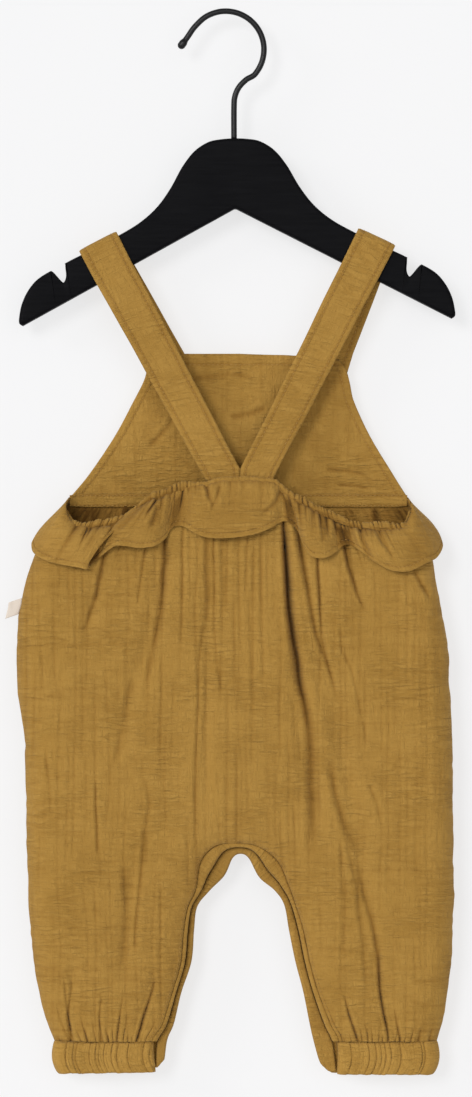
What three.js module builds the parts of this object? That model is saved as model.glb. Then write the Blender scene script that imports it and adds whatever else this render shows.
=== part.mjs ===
// Kids dungarees in crinkled double gauze, hung flat by their two straps on a child's wooden hanger.
// Millimetres, +Z up. The origin is the inner crown of the hanger's hook, where a rail carries it.
// -Y is the back of the garment, with its gathered ruffle, and +Y is the front, with the bib.
// Places on the garment are given as x from its middle line and drop below its front waist seam.
import * as THREE from "three";

const CLOTH = 1.2; // thickness of one wall of double gauze
const SEAM_GAP = 0.3; // clear space between two pieces where they are sewn together
const GARMENT_X = 8.3; // the garment's middle line, to the right of the hook's crown
const WAIST_Z = -316; // height of the front waist seam
const WAIST_HALF = 110.8; // half the waist's flat width
const SIDE_ROUND = 14; // how far in from a side fold the cloth is still turning
const INSEAM_ROUND = 26; // the same beside the crotch opening
const BACK_EDGE = 7.2; // how far behind the middle plane the back's inseam edge lies
const FRONT_EDGE = 4.5; // how far in front of it the front's inseam edge lies
const ANKLE = 351; // drop of the seam between leg and cuff
const CUFF_HEIGHT = 21;
const CASING_HEIGHT = 5; // elastic channel along the back waist
const CROTCH = 10; // row of INSEAM at the middle of the crotch

const GAUZE = { color: 0xa47e3f, roughness: 0.95, metalness: 0 };
const LABEL_COTTON = { color: 0xd8cbbd, roughness: 0.9, metalness: 0 };
const BLACK_LACQUER = { color: 0x18181a, roughness: 0.55, metalness: 0 };
const BLACK_WIRE = { color: 0x161618, roughness: 0.35, metalness: 0.6 };
const PRESS_STUD = { color: 0xa88a55, roughness: 0.4, metalness: 0.1 };

// Half widths of the trousers to the left and right of the middle line, and half their depth.
const TROUSERS = [
  { drop: 0, left: WAIST_HALF, right: WAIST_HALF, depth: 8.4 },
  { drop: 20, left: 124.5, right: 121.5, depth: 10 },
  { drop: 39, left: 134, right: 126.5, depth: 12 },
  { drop: 65, left: 141.4, right: 131, depth: 13.5 },
  { drop: 95, left: 144, right: 135.8, depth: 14.5 },
  { drop: 122, left: 144, right: 137.2, depth: 15 },
  { drop: 161, left: 138.8, right: 139, depth: 15 },
  { drop: 239, left: 137.2, right: 140, depth: 14 },
  { drop: 280, left: 135, right: 139.5, depth: 12.8 },
  { drop: 309, left: 131.5, right: 137, depth: 11.5 },
  { drop: 335, left: 126, right: 133.5, depth: 9.5 },
  { drop: 351, left: 119.6, right: 129, depth: 8.2 },
];

// The inseam from the left ankle over the crotch to the right ankle: where the back panel ends, where the
// front placket folds, and the share of the width between them that the back placket covers.
const INSEAM = [
  { seamX: -55, seamDrop: 371.2, foldX: -47.5, foldDrop: 371.2, lap: 0.28 },
  { seamX: -56.2, seamDrop: 351, foldX: -46.2, foldDrop: 351, lap: 0.28 },
  { seamX: -49.6, seamDrop: 340, foldX: -41.8, foldDrop: 340, lap: 0.28 },
  { seamX: -43, seamDrop: 319, foldX: -37, foldDrop: 320, lap: 0.28 },
  { seamX: -37.6, seamDrop: 300, foldX: -30.4, foldDrop: 299.5, lap: 0.28 },
  { seamX: -35.7, seamDrop: 280, foldX: -28.7, foldDrop: 279, lap: 0.28 },
  { seamX: -33, seamDrop: 264, foldX: -26.6, foldDrop: 264, lap: 0.28 },
  { seamX: -27.6, seamDrop: 252, foldX: -18.5, foldDrop: 253.6, lap: 0.32 },
  { seamX: -24.4, seamDrop: 234, foldX: -9, foldDrop: 244, lap: 0.43 },
  { seamX: -14, seamDrop: 223.6, foldX: -4, foldDrop: 235.5, lap: 0.4 },
  { seamX: 1, seamDrop: 222.2, foldX: 1.8, foldDrop: 230, lap: 0.28 },
  { seamX: 13, seamDrop: 224.4, foldX: 7.3, foldDrop: 236.5, lap: 0.36 },
  { seamX: 25.5, seamDrop: 234, foldX: 13.5, foldDrop: 245.3, lap: 0.48 },
  { seamX: 32.2, seamDrop: 248.6, foldX: 23.3, foldDrop: 253.6, lap: 0.38 },
  { seamX: 37, seamDrop: 262, foldX: 29.6, foldDrop: 263, lap: 0.26 },
  { seamX: 42.3, seamDrop: 279, foldX: 32.8, foldDrop: 280, lap: 0.26 },
  { seamX: 46.6, seamDrop: 300, foldX: 36.9, foldDrop: 300, lap: 0.26 },
  { seamX: 51.9, seamDrop: 319, foldX: 42, foldDrop: 319.5, lap: 0.26 },
  { seamX: 60, seamDrop: 340, foldX: 46.1, foldDrop: 340, lap: 0.24 },
  { seamX: 65.3, seamDrop: 351, foldX: 48.6, foldDrop: 351, lap: 0.22 },
  { seamX: 65.3, seamDrop: 371.2, foldX: 54, foldDrop: 371.2, lap: 0.22 },
];

// The gathered top edge of the back.
const BACK_WAIST = [
  { x: -110.8, drop: 1.3 },
  { x: -106, drop: 9.5 },
  { x: -98, drop: 13.4 },
  { x: -88, drop: 14 },
  { x: -70, drop: 10.3 },
  { x: -61, drop: -0.7 },
  { x: -45, drop: -7.6 },
  { x: -34, drop: -11.3 },
  { x: -20, drop: -12 },
  { x: -12, drop: -14.4 },
  { x: 23, drop: -13.5 },
  { x: 31, drop: -7.5 },
  { x: 54, drop: 6.3 },
  { x: 70, drop: 13.6 },
  { x: 89, drop: 15.8 },
  { x: 101, drop: 15 },
  { x: 107.5, drop: 9.5 },
  { x: 110.8, drop: 1.3 },
];

// The bib's half widths, from its top edge to the waist seam.
const BIB = [
  { drop: -95.5, left: 63.5, right: 62 },
  { drop: -86, left: 62, right: 69.5 },
  { drop: -78, left: 62.5, right: 72.2 },
  { drop: -65, left: 68, right: 75 },
  { drop: -42, left: 80.3, right: 85.5 },
  { drop: -20, left: 95, right: 98.8 },
  { drop: 0, left: WAIST_HALF, right: WAIST_HALF },
];

// The ruffle, from its turned end at the left side seam to the one at the right: where it is sewn on,
// and where its hem hangs. Its lobes stand well off the trousers and its valleys lie close to them.
const RUFFLE = [
  { topX: -110.8, hemX: -134, hemDrop: 29, hemY: 5 },
  { topX: -110.8, hemX: -135.4, hemDrop: 26, hemY: -3 },
  { topX: -108.5, hemX: -131.5, hemDrop: 35, hemY: -13 },
  { topX: -101, hemX: -115, hemDrop: 42.5, hemY: -20 },
  { topX: -91, hemX: -97.5, hemDrop: 44.4, hemY: -19.5 },
  { topX: -84, hemX: -89.5, hemDrop: 37.5, hemY: -14.6 },
  { topX: -76, hemX: -78, hemDrop: 30, hemY: -13.6 },
  { topX: -64, hemX: -62, hemDrop: 31.8, hemY: -19.5 },
  { topX: -52, hemX: -47, hemDrop: 24, hemY: -16 },
  { topX: -40, hemX: -39, hemDrop: 16.6, hemY: -13 },
  { topX: -26, hemX: -25, hemDrop: 21.6, hemY: -17.5 },
  { topX: -8, hemX: -8, hemDrop: 24.6, hemY: -20 },
  { topX: 12, hemX: 15, hemDrop: 20.4, hemY: -18 },
  { topX: 26, hemX: 29.5, hemDrop: 14, hemY: -13 },
  { topX: 36, hemX: 38.6, hemDrop: 18.6, hemY: -14 },
  { topX: 45, hemX: 45, hemDrop: 33, hemY: -18.5 },
  { topX: 55, hemX: 55, hemDrop: 37.4, hemY: -20.5 },
  { topX: 65, hemX: 66, hemDrop: 30.4, hemY: -15 },
  { topX: 73, hemX: 72.5, hemDrop: 29.2, hemY: -13.6 },
  { topX: 83, hemX: 85, hemDrop: 39, hemY: -17.5 },
  { topX: 93, hemX: 102, hemDrop: 46.4, hemY: -20.5 },
  { topX: 103, hemX: 120, hemDrop: 41.5, hemY: -17.5 },
  { topX: 109.2, hemX: 129, hemDrop: 35, hemY: -9 },
  { topX: 110.8, hemX: 132.2, hemDrop: 27, hemY: 1 },
  { topX: 110.8, hemX: 130, hemDrop: 25, hemY: 9 },
];

// Troughs pressed into the back of the trousers, with their half width and depth.
const BACK_FOLDS = [
  { x: 30, drop: 22, toX: 38, toDrop: 130, half: 5, depth: 4 },
  { x: 38, drop: 130, toX: 52, toDrop: 214, half: 7, depth: 2.6 },
  { x: -48, drop: 29, toX: -52, toDrop: 72, half: 8, depth: 2.6 },
  { x: -52, drop: 72, toX: -78, toDrop: 156, half: 9, depth: 2.2 },
  { x: -87, drop: 48, toX: -100, toDrop: 92, half: 8, depth: 2.2 },
  { x: -18, drop: 29, toX: -22, toDrop: 200, half: 6, depth: 2 },
  { x: 52, drop: 39, toX: 55, toDrop: 104, half: 5, depth: 2 },
  { x: 73, drop: 29, toX: 79, toDrop: 70, half: 6, depth: 2.4 },
  { x: 60, drop: 117, toX: 88, toDrop: 290, half: 8, depth: 2.4 },
  { x: 88, drop: 290, toX: 99, toDrop: 348, half: 6, depth: 2.4 },
  { x: -68, drop: 236, toX: -76, toDrop: 312, half: 8, depth: 2.2 },
  { x: -54, drop: 305, toX: -64, toDrop: 348, half: 6, depth: 2 },
  { x: -107, drop: 300, toX: -108, toDrop: 349, half: 6, depth: 2 },
];

// The front hangs unseen: the same cloth with the same sort of folds, placed unevenly.
const FRONT_FOLDS = [
  { x: -74, drop: 8, toX: -84, toDrop: 110, half: 9, depth: 2.6 },
  { x: -30, drop: 8, toX: -38, toDrop: 150, half: 8, depth: 2.8 },
  { x: 12, drop: 8, toX: 14, toDrop: 120, half: 8, depth: 2.2 },
  { x: 52, drop: 8, toX: 64, toDrop: 160, half: 9, depth: 2.8 },
  { x: 88, drop: 10, toX: 98, toDrop: 90, half: 8, depth: 2.2 },
  { x: -70, drop: 200, toX: -82, toDrop: 330, half: 9, depth: 2.4 },
  { x: 84, drop: 190, toX: 98, toDrop: 325, half: 9, depth: 2.4 },
];

// A smooth curve through a table's rows, read at a value of one of its columns.
function smooth(table, key) {
  const columns = Object.keys(table[0]).filter((name) => name !== key);
  const slope = (name, i) => {
    const a = table[Math.max(i - 1, 0)];
    const b = table[Math.min(i + 1, table.length - 1)];
    return (b[name] - a[name]) / (b[key] - a[key]);
  };
  return (value) => {
    let i = 0;
    while (i < table.length - 2 && value > table[i + 1][key]) i++;
    const a = table[i];
    const b = table[i + 1];
    const span = b[key] - a[key];
    const t = THREE.MathUtils.clamp((value - a[key]) / span, 0, 1);
    const out = {};
    for (const name of columns) {
      out[name] =
        (2 * t ** 3 - 3 * t ** 2 + 1) * a[name] +
        (t ** 3 - 2 * t ** 2 + t) * span * slope(name, i) +
        (-2 * t ** 3 + 3 * t ** 2) * b[name] +
        (t ** 3 - t ** 2) * span * slope(name, i + 1);
    }
    return out;
  };
}

const byRow = (table) => smooth(table.map((row, step) => ({ ...row, step })), "step");
const trousersAt = smooth(TROUSERS, "drop");
const inseamAt = byRow(INSEAM);
const backWaistAt = smooth(BACK_WAIST, "x");
const bibAt = smooth(BIB, "drop");
const ruffleAt = byRow(RUFFLE);

const mix = THREE.MathUtils.lerp;
const count = (n) => Array.from({ length: n }, (_, i) => i);
// Rises like a quarter circle from 0 at the edge to 1 at the full distance in.
const turning = (distance, full) => Math.sqrt(1 - (1 - THREE.MathUtils.clamp(distance / full, 0, 1)) ** 2);

function distanceToSegment(x, drop, a, b) {
  const dx = b.x - a.x;
  const dd = b.drop - a.drop;
  const t = THREE.MathUtils.clamp(((x - a.x) * dx + (drop - a.drop) * dd) / (dx * dx + dd * dd), 0, 1);
  return { away: Math.hypot(x - a.x - t * dx, drop - a.drop - t * dd), t };
}

const INSEAM_SAMPLES = 60;
const seamLine = count(INSEAM_SAMPLES + 1).map((i) => {
  const at = inseamAt((i / INSEAM_SAMPLES) * (INSEAM.length - 1));
  return { x: at.seamX, drop: at.seamDrop };
});

function distanceToInseam(x, drop) {
  return Math.min(
    ...seamLine.slice(1).map((end, i) => distanceToSegment(x, drop, seamLine[i], end).away),
  );
}

function distanceToSide(x, drop) {
  const { left, right } = trousersAt(drop);
  return Math.min(x + left, right - x) - CLOTH / 2;
}

// How far the folds press the cloth in at a place, fading at each fold's two ends.
function pressed(folds, x, drop) {
  let total = 0;
  for (const fold of folds) {
    const { away, t } = distanceToSegment(x, drop, fold, { x: fold.toX, drop: fold.toDrop });
    total += fold.depth * Math.exp(-((away / fold.half) ** 2) * 2) * Math.min(1, 0.35 + 4 * t * (1 - t));
  }
  return total;
}

// Half the depth of the filled-out trousers at a place, from the middle plane to a surface that lies
// the given distance outside a panel.
function halfDepth(x, drop, edge, folds, outside = 0) {
  const fromSide = distanceToSide(x, drop);
  const rounded = turning(fromSide + outside, SIDE_ROUND + outside);
  const inner = turning(distanceToInseam(x, drop), INSEAM_ROUND);
  const full = trousersAt(drop).depth + 0.1 * THREE.MathUtils.clamp(fromSide, 0, 20);
  const flat = edge + Math.max(0, full - edge) * inner;
  return SEAM_GAP / 2 + rounded * (outside + Math.max(2, flat - inner * pressed(folds, x, drop)));
}

const backY = (x, drop, outside) => -halfDepth(x, drop, BACK_EDGE, BACK_FOLDS, outside);
const frontY = (x, drop) => halfDepth(x, drop, FRONT_EDGE, FRONT_FOLDS);

// A closed wall from a sheet of middle points. Its quads run anticlockwise seen from the outer face.
// A squared point is thickened along none of the axes named with it, so that a sewn edge stays square.
function wall({ points, quads, squared }, thickness) {
  const normals = points.map(() => new THREE.Vector3());
  const edgeA = new THREE.Vector3();
  const edgeB = new THREE.Vector3();
  for (const [a, b, c, d] of quads) {
    edgeA.subVectors(points[c], points[a]);
    edgeB.subVectors(points[d], points[b]);
    edgeA.cross(edgeB);
    for (const corner of [a, b, c, d]) normals[corner].add(edgeA);
  }
  for (const [i, axes] of squared) for (const axis of axes) normals[i][axis] = 0;
  const half = thickness / 2;
  const outer = points.map((p, i) => p.clone().addScaledVector(normals[i].clone().normalize(), half));
  const inner = points.map((p, i) => p.clone().addScaledVector(normals[i].clone().normalize(), -half));
  const all = [...outer, ...inner];
  const under = points.length;
  const faces = [];
  const directed = new Set();
  for (const quad of quads) {
    quad.forEach((a, i) => directed.add(a + ">" + quad[(i + 1) % 4]));
    const [a, b, c, d] = quad;
    faces.push([a, b, c], [a, c, d]);
    faces.push([c + under, b + under, a + under], [d + under, c + under, a + under]);
  }
  for (const quad of quads) {
    quad.forEach((a, i) => {
      const b = quad[(i + 1) % 4];
      if (directed.has(b + ">" + a)) return;
      faces.push([b, a, a + under], [b, a + under, b + under]);
    });
  }
  return solid(all, faces);
}

function solid(points, faces) {
  const geometry = new THREE.BufferGeometry();
  geometry.setAttribute("position", new THREE.Float32BufferAttribute(points.flatMap((p) => p.toArray()), 3));
  geometry.setIndex(faces.flat());
  geometry.computeVertexNormals();
  return geometry;
}

const onGarment = (x, drop, y) => new THREE.Vector3(GARMENT_X + x, y, WAIST_Z - drop);

// A sheet of columns by rows, seen from -Y with columns left to right and rows downwards.
// Facing says which side of the sheet is its outer face. Its first and last rows and columns are squared.
function sheet(columns, rows, place, facing, columnAxes = "", rowAxes = "z") {
  const points = [];
  for (const row of count(rows + 1)) {
    for (const column of count(columns + 1)) points.push(place(column / columns, row / rows, column, row));
  }
  const quads = [];
  for (const row of count(rows)) {
    for (const column of count(columns)) {
      const a = row * (columns + 1) + column;
      const quad = [a, a + columns + 1, a + columns + 2, a + 1];
      quads.push(facing === "back" ? quad : quad.reverse());
    }
  }
  const squared = [];
  for (const column of count(columns + 1)) {
    squared.push([column, rowAxes], [rows * (columns + 1) + column, rowAxes]);
  }
  for (const row of count(rows + 1)) {
    squared.push([row * (columns + 1), columnAxes], [row * (columns + 1) + columns, columnAxes]);
  }
  return { points, quads, squared };
}

function mesh(name, geometry, look) {
  const made = new THREE.Mesh(geometry, new THREE.MeshStandardMaterial(look));
  made.name = name;
  return made;
}

const sewn = (name, cloth, thickness = CLOTH, look = GAUZE) => mesh(name, wall(cloth, thickness), look);

// Trousers

const SIDE_COLUMNS = 4; // columns spent on the turn at a side fold
const TRUNK_ROWS = 10;
const LEG_ROWS = 12;
const SIDE_CROTCH = 206; // drop at the side seam of the row that reaches the crotch
const BACK_COLUMNS = 24; // from a side seam to the middle
const FRONT_COLUMNS = 16;
const MIDDLE_X = INSEAM[CROTCH].seamX;

// Where a column lies between the side fold and the row's inner end, closer together on the turn.
function columnX(outerX, innerX, column, columns) {
  const turn = ((column / SIDE_COLUMNS) * Math.PI) / 2;
  const span = Math.abs(innerX - outerX);
  const inset =
    column <= SIDE_COLUMNS
      ? SIDE_ROUND * (1 - Math.cos(turn))
      : mix(SIDE_ROUND, span, (column - SIDE_COLUMNS) / (columns - SIDE_COLUMNS));
  return mix(outerX, innerX, inset / span);
}

function sideX(side, drop) {
  const { left, right } = trousersAt(drop);
  return side * ((side < 0 ? left : right) - CLOTH / 2);
}

// The side seam's and the inner end's places on one row of a panel.
function rowEnds({ innerAt, topDrop }, side, row) {
  if (row > TRUNK_ROWS) {
    const leg = (row - TRUNK_ROWS) / LEG_ROWS;
    return { seamDrop: mix(SIDE_CROTCH, ANKLE, leg), inner: innerAt(CROTCH + side * leg * (CROTCH - 1)) };
  }
  const trunk = row / TRUNK_ROWS;
  const { x, drop } = innerAt(CROTCH);
  return {
    seamDrop: mix(topDrop(side * WAIST_HALF), SIDE_CROTCH, trunk),
    inner: { x, drop: mix(topDrop(x), drop, trunk) },
  };
}

// How far a small gather lifts the cloth. Gathers start at the waist and at the ankle and fade away.
function gathered(gather, side, column, fromWaist, fromAnkle) {
  if (column <= SIDE_COLUMNS) return 0;
  const fade = Math.min(1, Math.exp(-fromWaist / gather.waistFade) + Math.exp(-fromAnkle / gather.ankleFade));
  const size = 0.7 + 0.3 * Math.sin(column * 2.3 + side);
  return gather.height * size * fade * (column % 2 ? 1 : -1);
}

// One panel of the trousers: a left and a right half, joined down the middle as far as the crotch.
// The columns of each half run from its side seam to the middle line or the inseam.
function trousersPanel(panel) {
  const { columns, topDrop, yAt, gather, outward } = panel;
  const points = [];
  const index = new Map();
  const squared = [];
  const rows = TRUNK_ROWS + LEG_ROWS;

  const place = (side, column, row) => {
    const { seamDrop, inner } = rowEnds(panel, side, row);
    const outerX = sideX(side, seamDrop);
    const x = columnX(outerX, inner.x, column, columns);
    const across = (x - outerX) / (inner.x - outerX);
    const straightTop = mix(topDrop(side * WAIST_HALF), topDrop(inner.x), across);
    const curve = (topDrop(x) - straightTop) * Math.max(0, 1 - row / TRUNK_ROWS);
    const drop = mix(seamDrop, inner.drop, across) + curve;
    if (column === 0) return onGarment(x, drop, (outward * SEAM_GAP) / 2);
    const lift = gathered(gather, side, column, drop - topDrop(x), ANKLE - drop);
    return onGarment(x, drop, yAt(x, drop) + outward * lift);
  };

  const id = (side, column, row) => {
    const shared = column === columns && row <= TRUNK_ROWS;
    const key = [shared ? 0 : side, column, row].join();
    if (!index.has(key)) {
      if (row === 0 || row === rows) squared.push([points.length, "z"]);
      if (column === 0) squared.push([points.length, "y"]);
      if (column === columns && row >= TRUNK_ROWS) squared.push([points.length, "xz"]);
      index.set(key, points.length);
      points.push(place(side, column, row));
    }
    return index.get(key);
  };

  const quads = [];
  for (const side of [-1, 1]) {
    for (const row of count(rows)) {
      for (const column of count(columns)) {
        const quad = [
          id(side, column, row),
          id(side, column, row + 1),
          id(side, column + 1, row + 1),
          id(side, column + 1, row),
        ];
        quads.push(side === outward ? quad.reverse() : quad);
      }
    }
  }
  return { points, quads, squared };
}

const backTop = (x) =>
  backWaistAt(THREE.MathUtils.clamp(x, -WAIST_HALF, WAIST_HALF)).drop + CASING_HEIGHT + SEAM_GAP;

function backPanel() {
  return trousersPanel({
    columns: BACK_COLUMNS,
    outward: -1,
    innerAt: (step) => {
      const at = inseamAt(step);
      return { x: at.seamX, drop: at.seamDrop };
    },
    topDrop: backTop,
    yAt: backY,
    gather: { height: 0.8, waistFade: 45, ankleFade: 24 },
  });
}

const FRONT_SEAM_IN = 4; // from the placket's fold to the seam that joins it to the front panel

// Runs from the front placket's fold towards the back panel's seam.
function towardsLeg(step) {
  const at = inseamAt(step);
  const width = Math.hypot(at.seamX - at.foldX, at.seamDrop - at.foldDrop);
  return { at, width, x: (at.seamX - at.foldX) / width, drop: (at.seamDrop - at.foldDrop) / width };
}

function frontPanel() {
  return trousersPanel({
    columns: FRONT_COLUMNS,
    outward: 1,
    innerAt: (step) => {
      const way = towardsLeg(step);
      return { x: way.at.foldX + way.x * FRONT_SEAM_IN, drop: way.at.foldDrop + way.drop * FRONT_SEAM_IN };
    },
    topDrop: () => SEAM_GAP / 2,
    yAt: frontY,
    gather: { height: 0.8, waistFade: 40, ankleFade: 24 },
  });
}

// Back waist: elastic casing and ruffle

const CASING_THICK = 2.6;
const CASING_OFF = 0.7; // the rolled casing sits this much outside the panel

// The rolled casing's columns line up with those of the panel that is sewn to its lower edge.
function casingSheet() {
  const columns = 2 * BACK_COLUMNS;
  return sheet(
    columns,
    2,
    (_, down, column) => {
      const side = column < BACK_COLUMNS ? -1 : 1;
      const fromSide = Math.min(column, columns - column);
      const lowX = columnX(sideX(side, backTop(side * WAIST_HALF)), MIDDLE_X, fromSide, BACK_COLUMNS);
      const highX = columnX(side * (WAIST_HALF - CLOTH / 2), MIDDLE_X, fromSide, BACK_COLUMNS);
      const x = mix(highX, lowX, down);
      const drop = mix(backWaistAt(highX).drop, backTop(lowX) - SEAM_GAP, down);
      if (fromSide === 0) return onGarment(x, drop, -SEAM_GAP / 2);
      const pucker = fromSide > SIDE_COLUMNS && column % 2 ? 0.8 : 0;
      return onGarment(x, drop, backY(x, Math.max(0, drop)) - CASING_OFF - pucker);
    },
    "back",
    "y",
  );
}

const RUFFLE_OFF = 2.2; // least distance from the middle of the back panel to the middle of the ruffle
const RUFFLE_GATHERS = 24;

function ruffleSheet() {
  const last = RUFFLE.length - 1;
  return sheet(
    3 * RUFFLE_GATHERS,
    5,
    (share, down) => {
      const at = ruffleAt(share * last);
      const wrapped = Math.min(1, Math.min(share, 1 - share) * last);
      const topX = THREE.MathUtils.clamp(at.topX, -WAIST_HALF, WAIST_HALF);
      const topDrop = backTop(topX);
      const topSide = Math.sign(topX) * (trousersAt(topDrop)[topX < 0 ? "left" : "right"] + RUFFLE_OFF);
      const outerTopX = mix(topX, topSide, 1 - turning(WAIST_HALF - Math.abs(topX), SIDE_ROUND));
      const x = mix(outerTopX, at.hemX, down);
      const drop = mix(topDrop, at.hemDrop, down);
      const gather = 0.7 * (1 + Math.cos(2 * Math.PI * RUFFLE_GATHERS * share)) * (1 - down) * wrapped;
      const topY = mix(1.5, backY(topX, topDrop, RUFFLE_OFF), wrapped);
      const hanging = mix(topY, at.hemY, down ** 0.85) - 1.6 * Math.sin(Math.PI * down) * wrapped - gather;
      if (wrapped < 1) return onGarment(x, drop, hanging);
      const clear = backY(x, drop, RUFFLE_OFF) - gather - 0.7 * Math.min(1, 4 * down);
      return onGarment(x, drop, Math.min(hanging, clear));
    },
    "back",
  );
}

// Bib and the inner band of its waist seam

const BIB_TOP_Y = 7; // the bib hangs from the straps behind the hanger

function bibY(x, drop) {
  const { left, right } = bibAt(drop);
  const edge = Math.max(0, Math.min(x + left, right - x));
  const low = THREE.MathUtils.smoothstep(drop, -34, 0);
  const waist = frontY(x, 0);
  const free = mix(BIB_TOP_Y, 8.2, THREE.MathUtils.smoothstep(drop, -96, -20));
  const ripple = 0.7 * Math.sin(x / 13 + drop / 31) * turning(edge, 20);
  return mix(free + ripple, waist, low);
}

// Its top edge sags a little towards the right strap.
const bibTop = (x) => BIB[0].drop + 4 * THREE.MathUtils.smoothstep(x, 28, 66);

function bibSheet() {
  return sheet(
    16,
    9,
    (share, down) => {
      const drop = mix(BIB[0].drop, -SEAM_GAP / 2, down);
      const { left, right } = bibAt(drop);
      const turn = 0.5 - 0.5 * Math.cos(Math.PI * share);
      const x = mix(-left, right, mix(share, turn, 0.7 * down));
      const lowered = mix(bibTop(x), drop, Math.min(1, down * 4));
      return onGarment(x, Math.max(lowered, drop), Math.max(SEAM_GAP / 2, bibY(x, drop)));
    },
    "front",
  );
}

const BAND_TOP = -4.2; // the turned seam allowance inside the front waist
const BAND_BOTTOM = 4.6;
const BAND_OFF = 3.1; // behind the middle of the front's gathered wall

function waistBandSheet() {
  return sheet(
    20,
    1,
    (share, down) => {
      const reach = WAIST_HALF - SIDE_ROUND;
      const x = mix(-reach, reach, share);
      const drop = mix(BAND_TOP, BAND_BOTTOM, down);
      return onGarment(x, drop, frontY(x, 0) - BAND_OFF);
    },
    "front",
  );
}

// Inseam plackets and press studs

// The places along the inseam where the panels' rows end, and those beside the cuffs.
const LEG_STEPS = count(2 * LEG_ROWS + 1).map((i) => 1 + (i * (CROTCH - 1)) / LEG_ROWS);
const CUFF_ROWS = 3;
const CUFF_STEPS = count(CUFF_ROWS).map((i) => i / CUFF_ROWS);
const RIGHT_CUFF_STEPS = CUFF_STEPS.map((step) => INSEAM.length - 1 - step).reverse();
const ALL_STEPS = [...CUFF_STEPS, ...LEG_STEPS, ...RIGHT_CUFF_STEPS];
const FACING_IN = 8; // how far the back placket is turned under the back panel
const TUCK_IN = 9; // how far the front placket reaches under the back one
const FACING_Y = -5;
const TUCK_Y = -1.6;

// A strip swept along the inseam. Each entry of the section is measured from the front placket's fold
// towards the leg, with its distance either fixed or a share of the width up to the back panel's seam.
function placketSheet(steps, section, facing) {
  return sheet(
    steps.length - 1,
    section.length - 1,
    (_, __, station, row) => {
      const way = towardsLeg(steps[station]);
      const { inward, y } = section[row](way);
      return onGarment(way.at.foldX + way.x * inward, way.at.foldDrop + way.drop * inward, y);
    },
    facing,
    "z",
    "xz",
  );
}

function backPlacket() {
  const freeEdge = (way) => way.width * (1 - way.at.lap);
  return placketSheet(
    LEG_STEPS,
    [
      (way) => ({ inward: way.width - SEAM_GAP, y: -BACK_EDGE - 0.1 }),
      (way) => ({ inward: freeEdge(way) + 0.4, y: -BACK_EDGE + 0.1 }),
      (way) => ({ inward: freeEdge(way) - 0.4, y: -BACK_EDGE + 1 }),
      (way) => ({ inward: freeEdge(way) + 0.6, y: FACING_Y + 0.1 }),
      (way) => ({ inward: way.width + FACING_IN, y: FACING_Y }),
    ],
    "back",
  );
}

function frontPlacket() {
  return placketSheet(
    ALL_STEPS,
    [
      () => ({ inward: FRONT_SEAM_IN - SEAM_GAP, y: FRONT_EDGE }),
      () => ({ inward: 1.2, y: FRONT_EDGE - 0.9 }),
      () => ({ inward: 0.6, y: 1.3 }),
      () => ({ inward: 1.8, y: TUCK_Y + 0.3 }),
      (way) => ({ inward: way.width + TUCK_IN, y: TUCK_Y }),
    ],
    "front",
  );
}

const STUD_STEPS = [3, 5.2, 7.2, 10, 12.8, 14.9, 17.1]; // places along INSEAM
const STUD_RADIUS = 3.6;
const STUD_DEPTH = 1.3;

function pressStuds() {
  return STUD_STEPS.map((step, i) => {
    const way = towardsLeg(step);
    const inward = way.width + 3.2;
    const disc = new THREE.CylinderGeometry(STUD_RADIUS, STUD_RADIUS, STUD_DEPTH, 12);
    const stud = mesh("press_stud_" + (i + 1), disc, PRESS_STUD);
    stud.position.copy(
      onGarment(way.at.foldX + way.x * inward, way.at.foldDrop + way.drop * inward, (FACING_Y + TUCK_Y) / 2),
    );
    return stud;
  });
}

// Ankle cuffs

const CUFF_ROUND = 8; // how far in from its outer fold a cuff is still turning

// Each cuff runs from the inseam end of the back, round the outer side fold, to the inseam end of the front.
function cuffSheet(side) {
  const last = INSEAM.length - 1;
  const top = ANKLE + SEAM_GAP;
  const stretch = { columns: 20, turn: 4 };
  const columns = 2 * (stretch.columns + stretch.turn);
  return sheet(
    columns,
    CUFF_ROWS,
    (_, down, column) => {
      const at = inseamAt(side < 0 ? mix(1, 0, down) : mix(last - 1, last, down));
      const back = column <= columns / 2;
      const fromFold = Math.abs(column - columns / 2);
      const bulge = 1.6 * Math.sin(Math.PI * down) - 2.4 * down ** 4;
      const outer = (side < 0 ? TROUSERS.at(-1).left : TROUSERS.at(-1).right) + bulge;
      const innerX = back ? at.seamX - side * 1.2 : at.foldX + side * (FRONT_SEAM_IN + SEAM_GAP);
      const outerX = side * (outer - CLOTH / 2);
      const span = Math.abs(outerX - innerX);
      const turn = (Math.min(1, fromFold / stretch.turn) * Math.PI) / 2;
      const flat = Math.max(0, fromFold - stretch.turn) / stretch.columns;
      const inward = fromFold <= stretch.turn ? CUFF_ROUND * (1 - Math.cos(turn)) : mix(CUFF_ROUND, span, flat);
      const edge = back ? BACK_EDGE : FRONT_EDGE;
      const narrowing = THREE.MathUtils.smoothstep(inward, span - 18, span);
      const depth = mix(TROUSERS.at(-1).depth, edge, narrowing) - 0.6 * down ** 3;
      const rib = fromFold > stretch.turn && fromFold < columns / 2 ? 0.7 * Math.cos(Math.PI * fromFold) : 0;
      const y = Math.sin(turn) * depth + rib * (0.6 + 0.4 * Math.sin(2.1 * fromFold));
      const tuckedUp = side < 0 ? 0.9 * (inward / span) * down : -0.6 * down;
      return onGarment(outerX - side * inward, mix(top, ANKLE + CUFF_HEIGHT, down) - tuckedUp, back ? -y : y);
    },
    side < 0 ? "front" : "back",
    "x",
  );
}

// Straps

const STRAP_THICK = 2.4;
const STRAP_ROUND = 3.2; // radius at which a strap's middle turns over the hanger's arm
const STRAP_END_Y = 6.8; // how far behind the middle plane the straps' ends are sewn inside the casing
const BIB_STRAP_Y = 9.3; // how far in front of it they are sewn on the bib's outer face
const ARM_OFF = 1.7; // from the hanger's surface to the strap's middle
const HANGER_THICK = 11;

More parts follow.
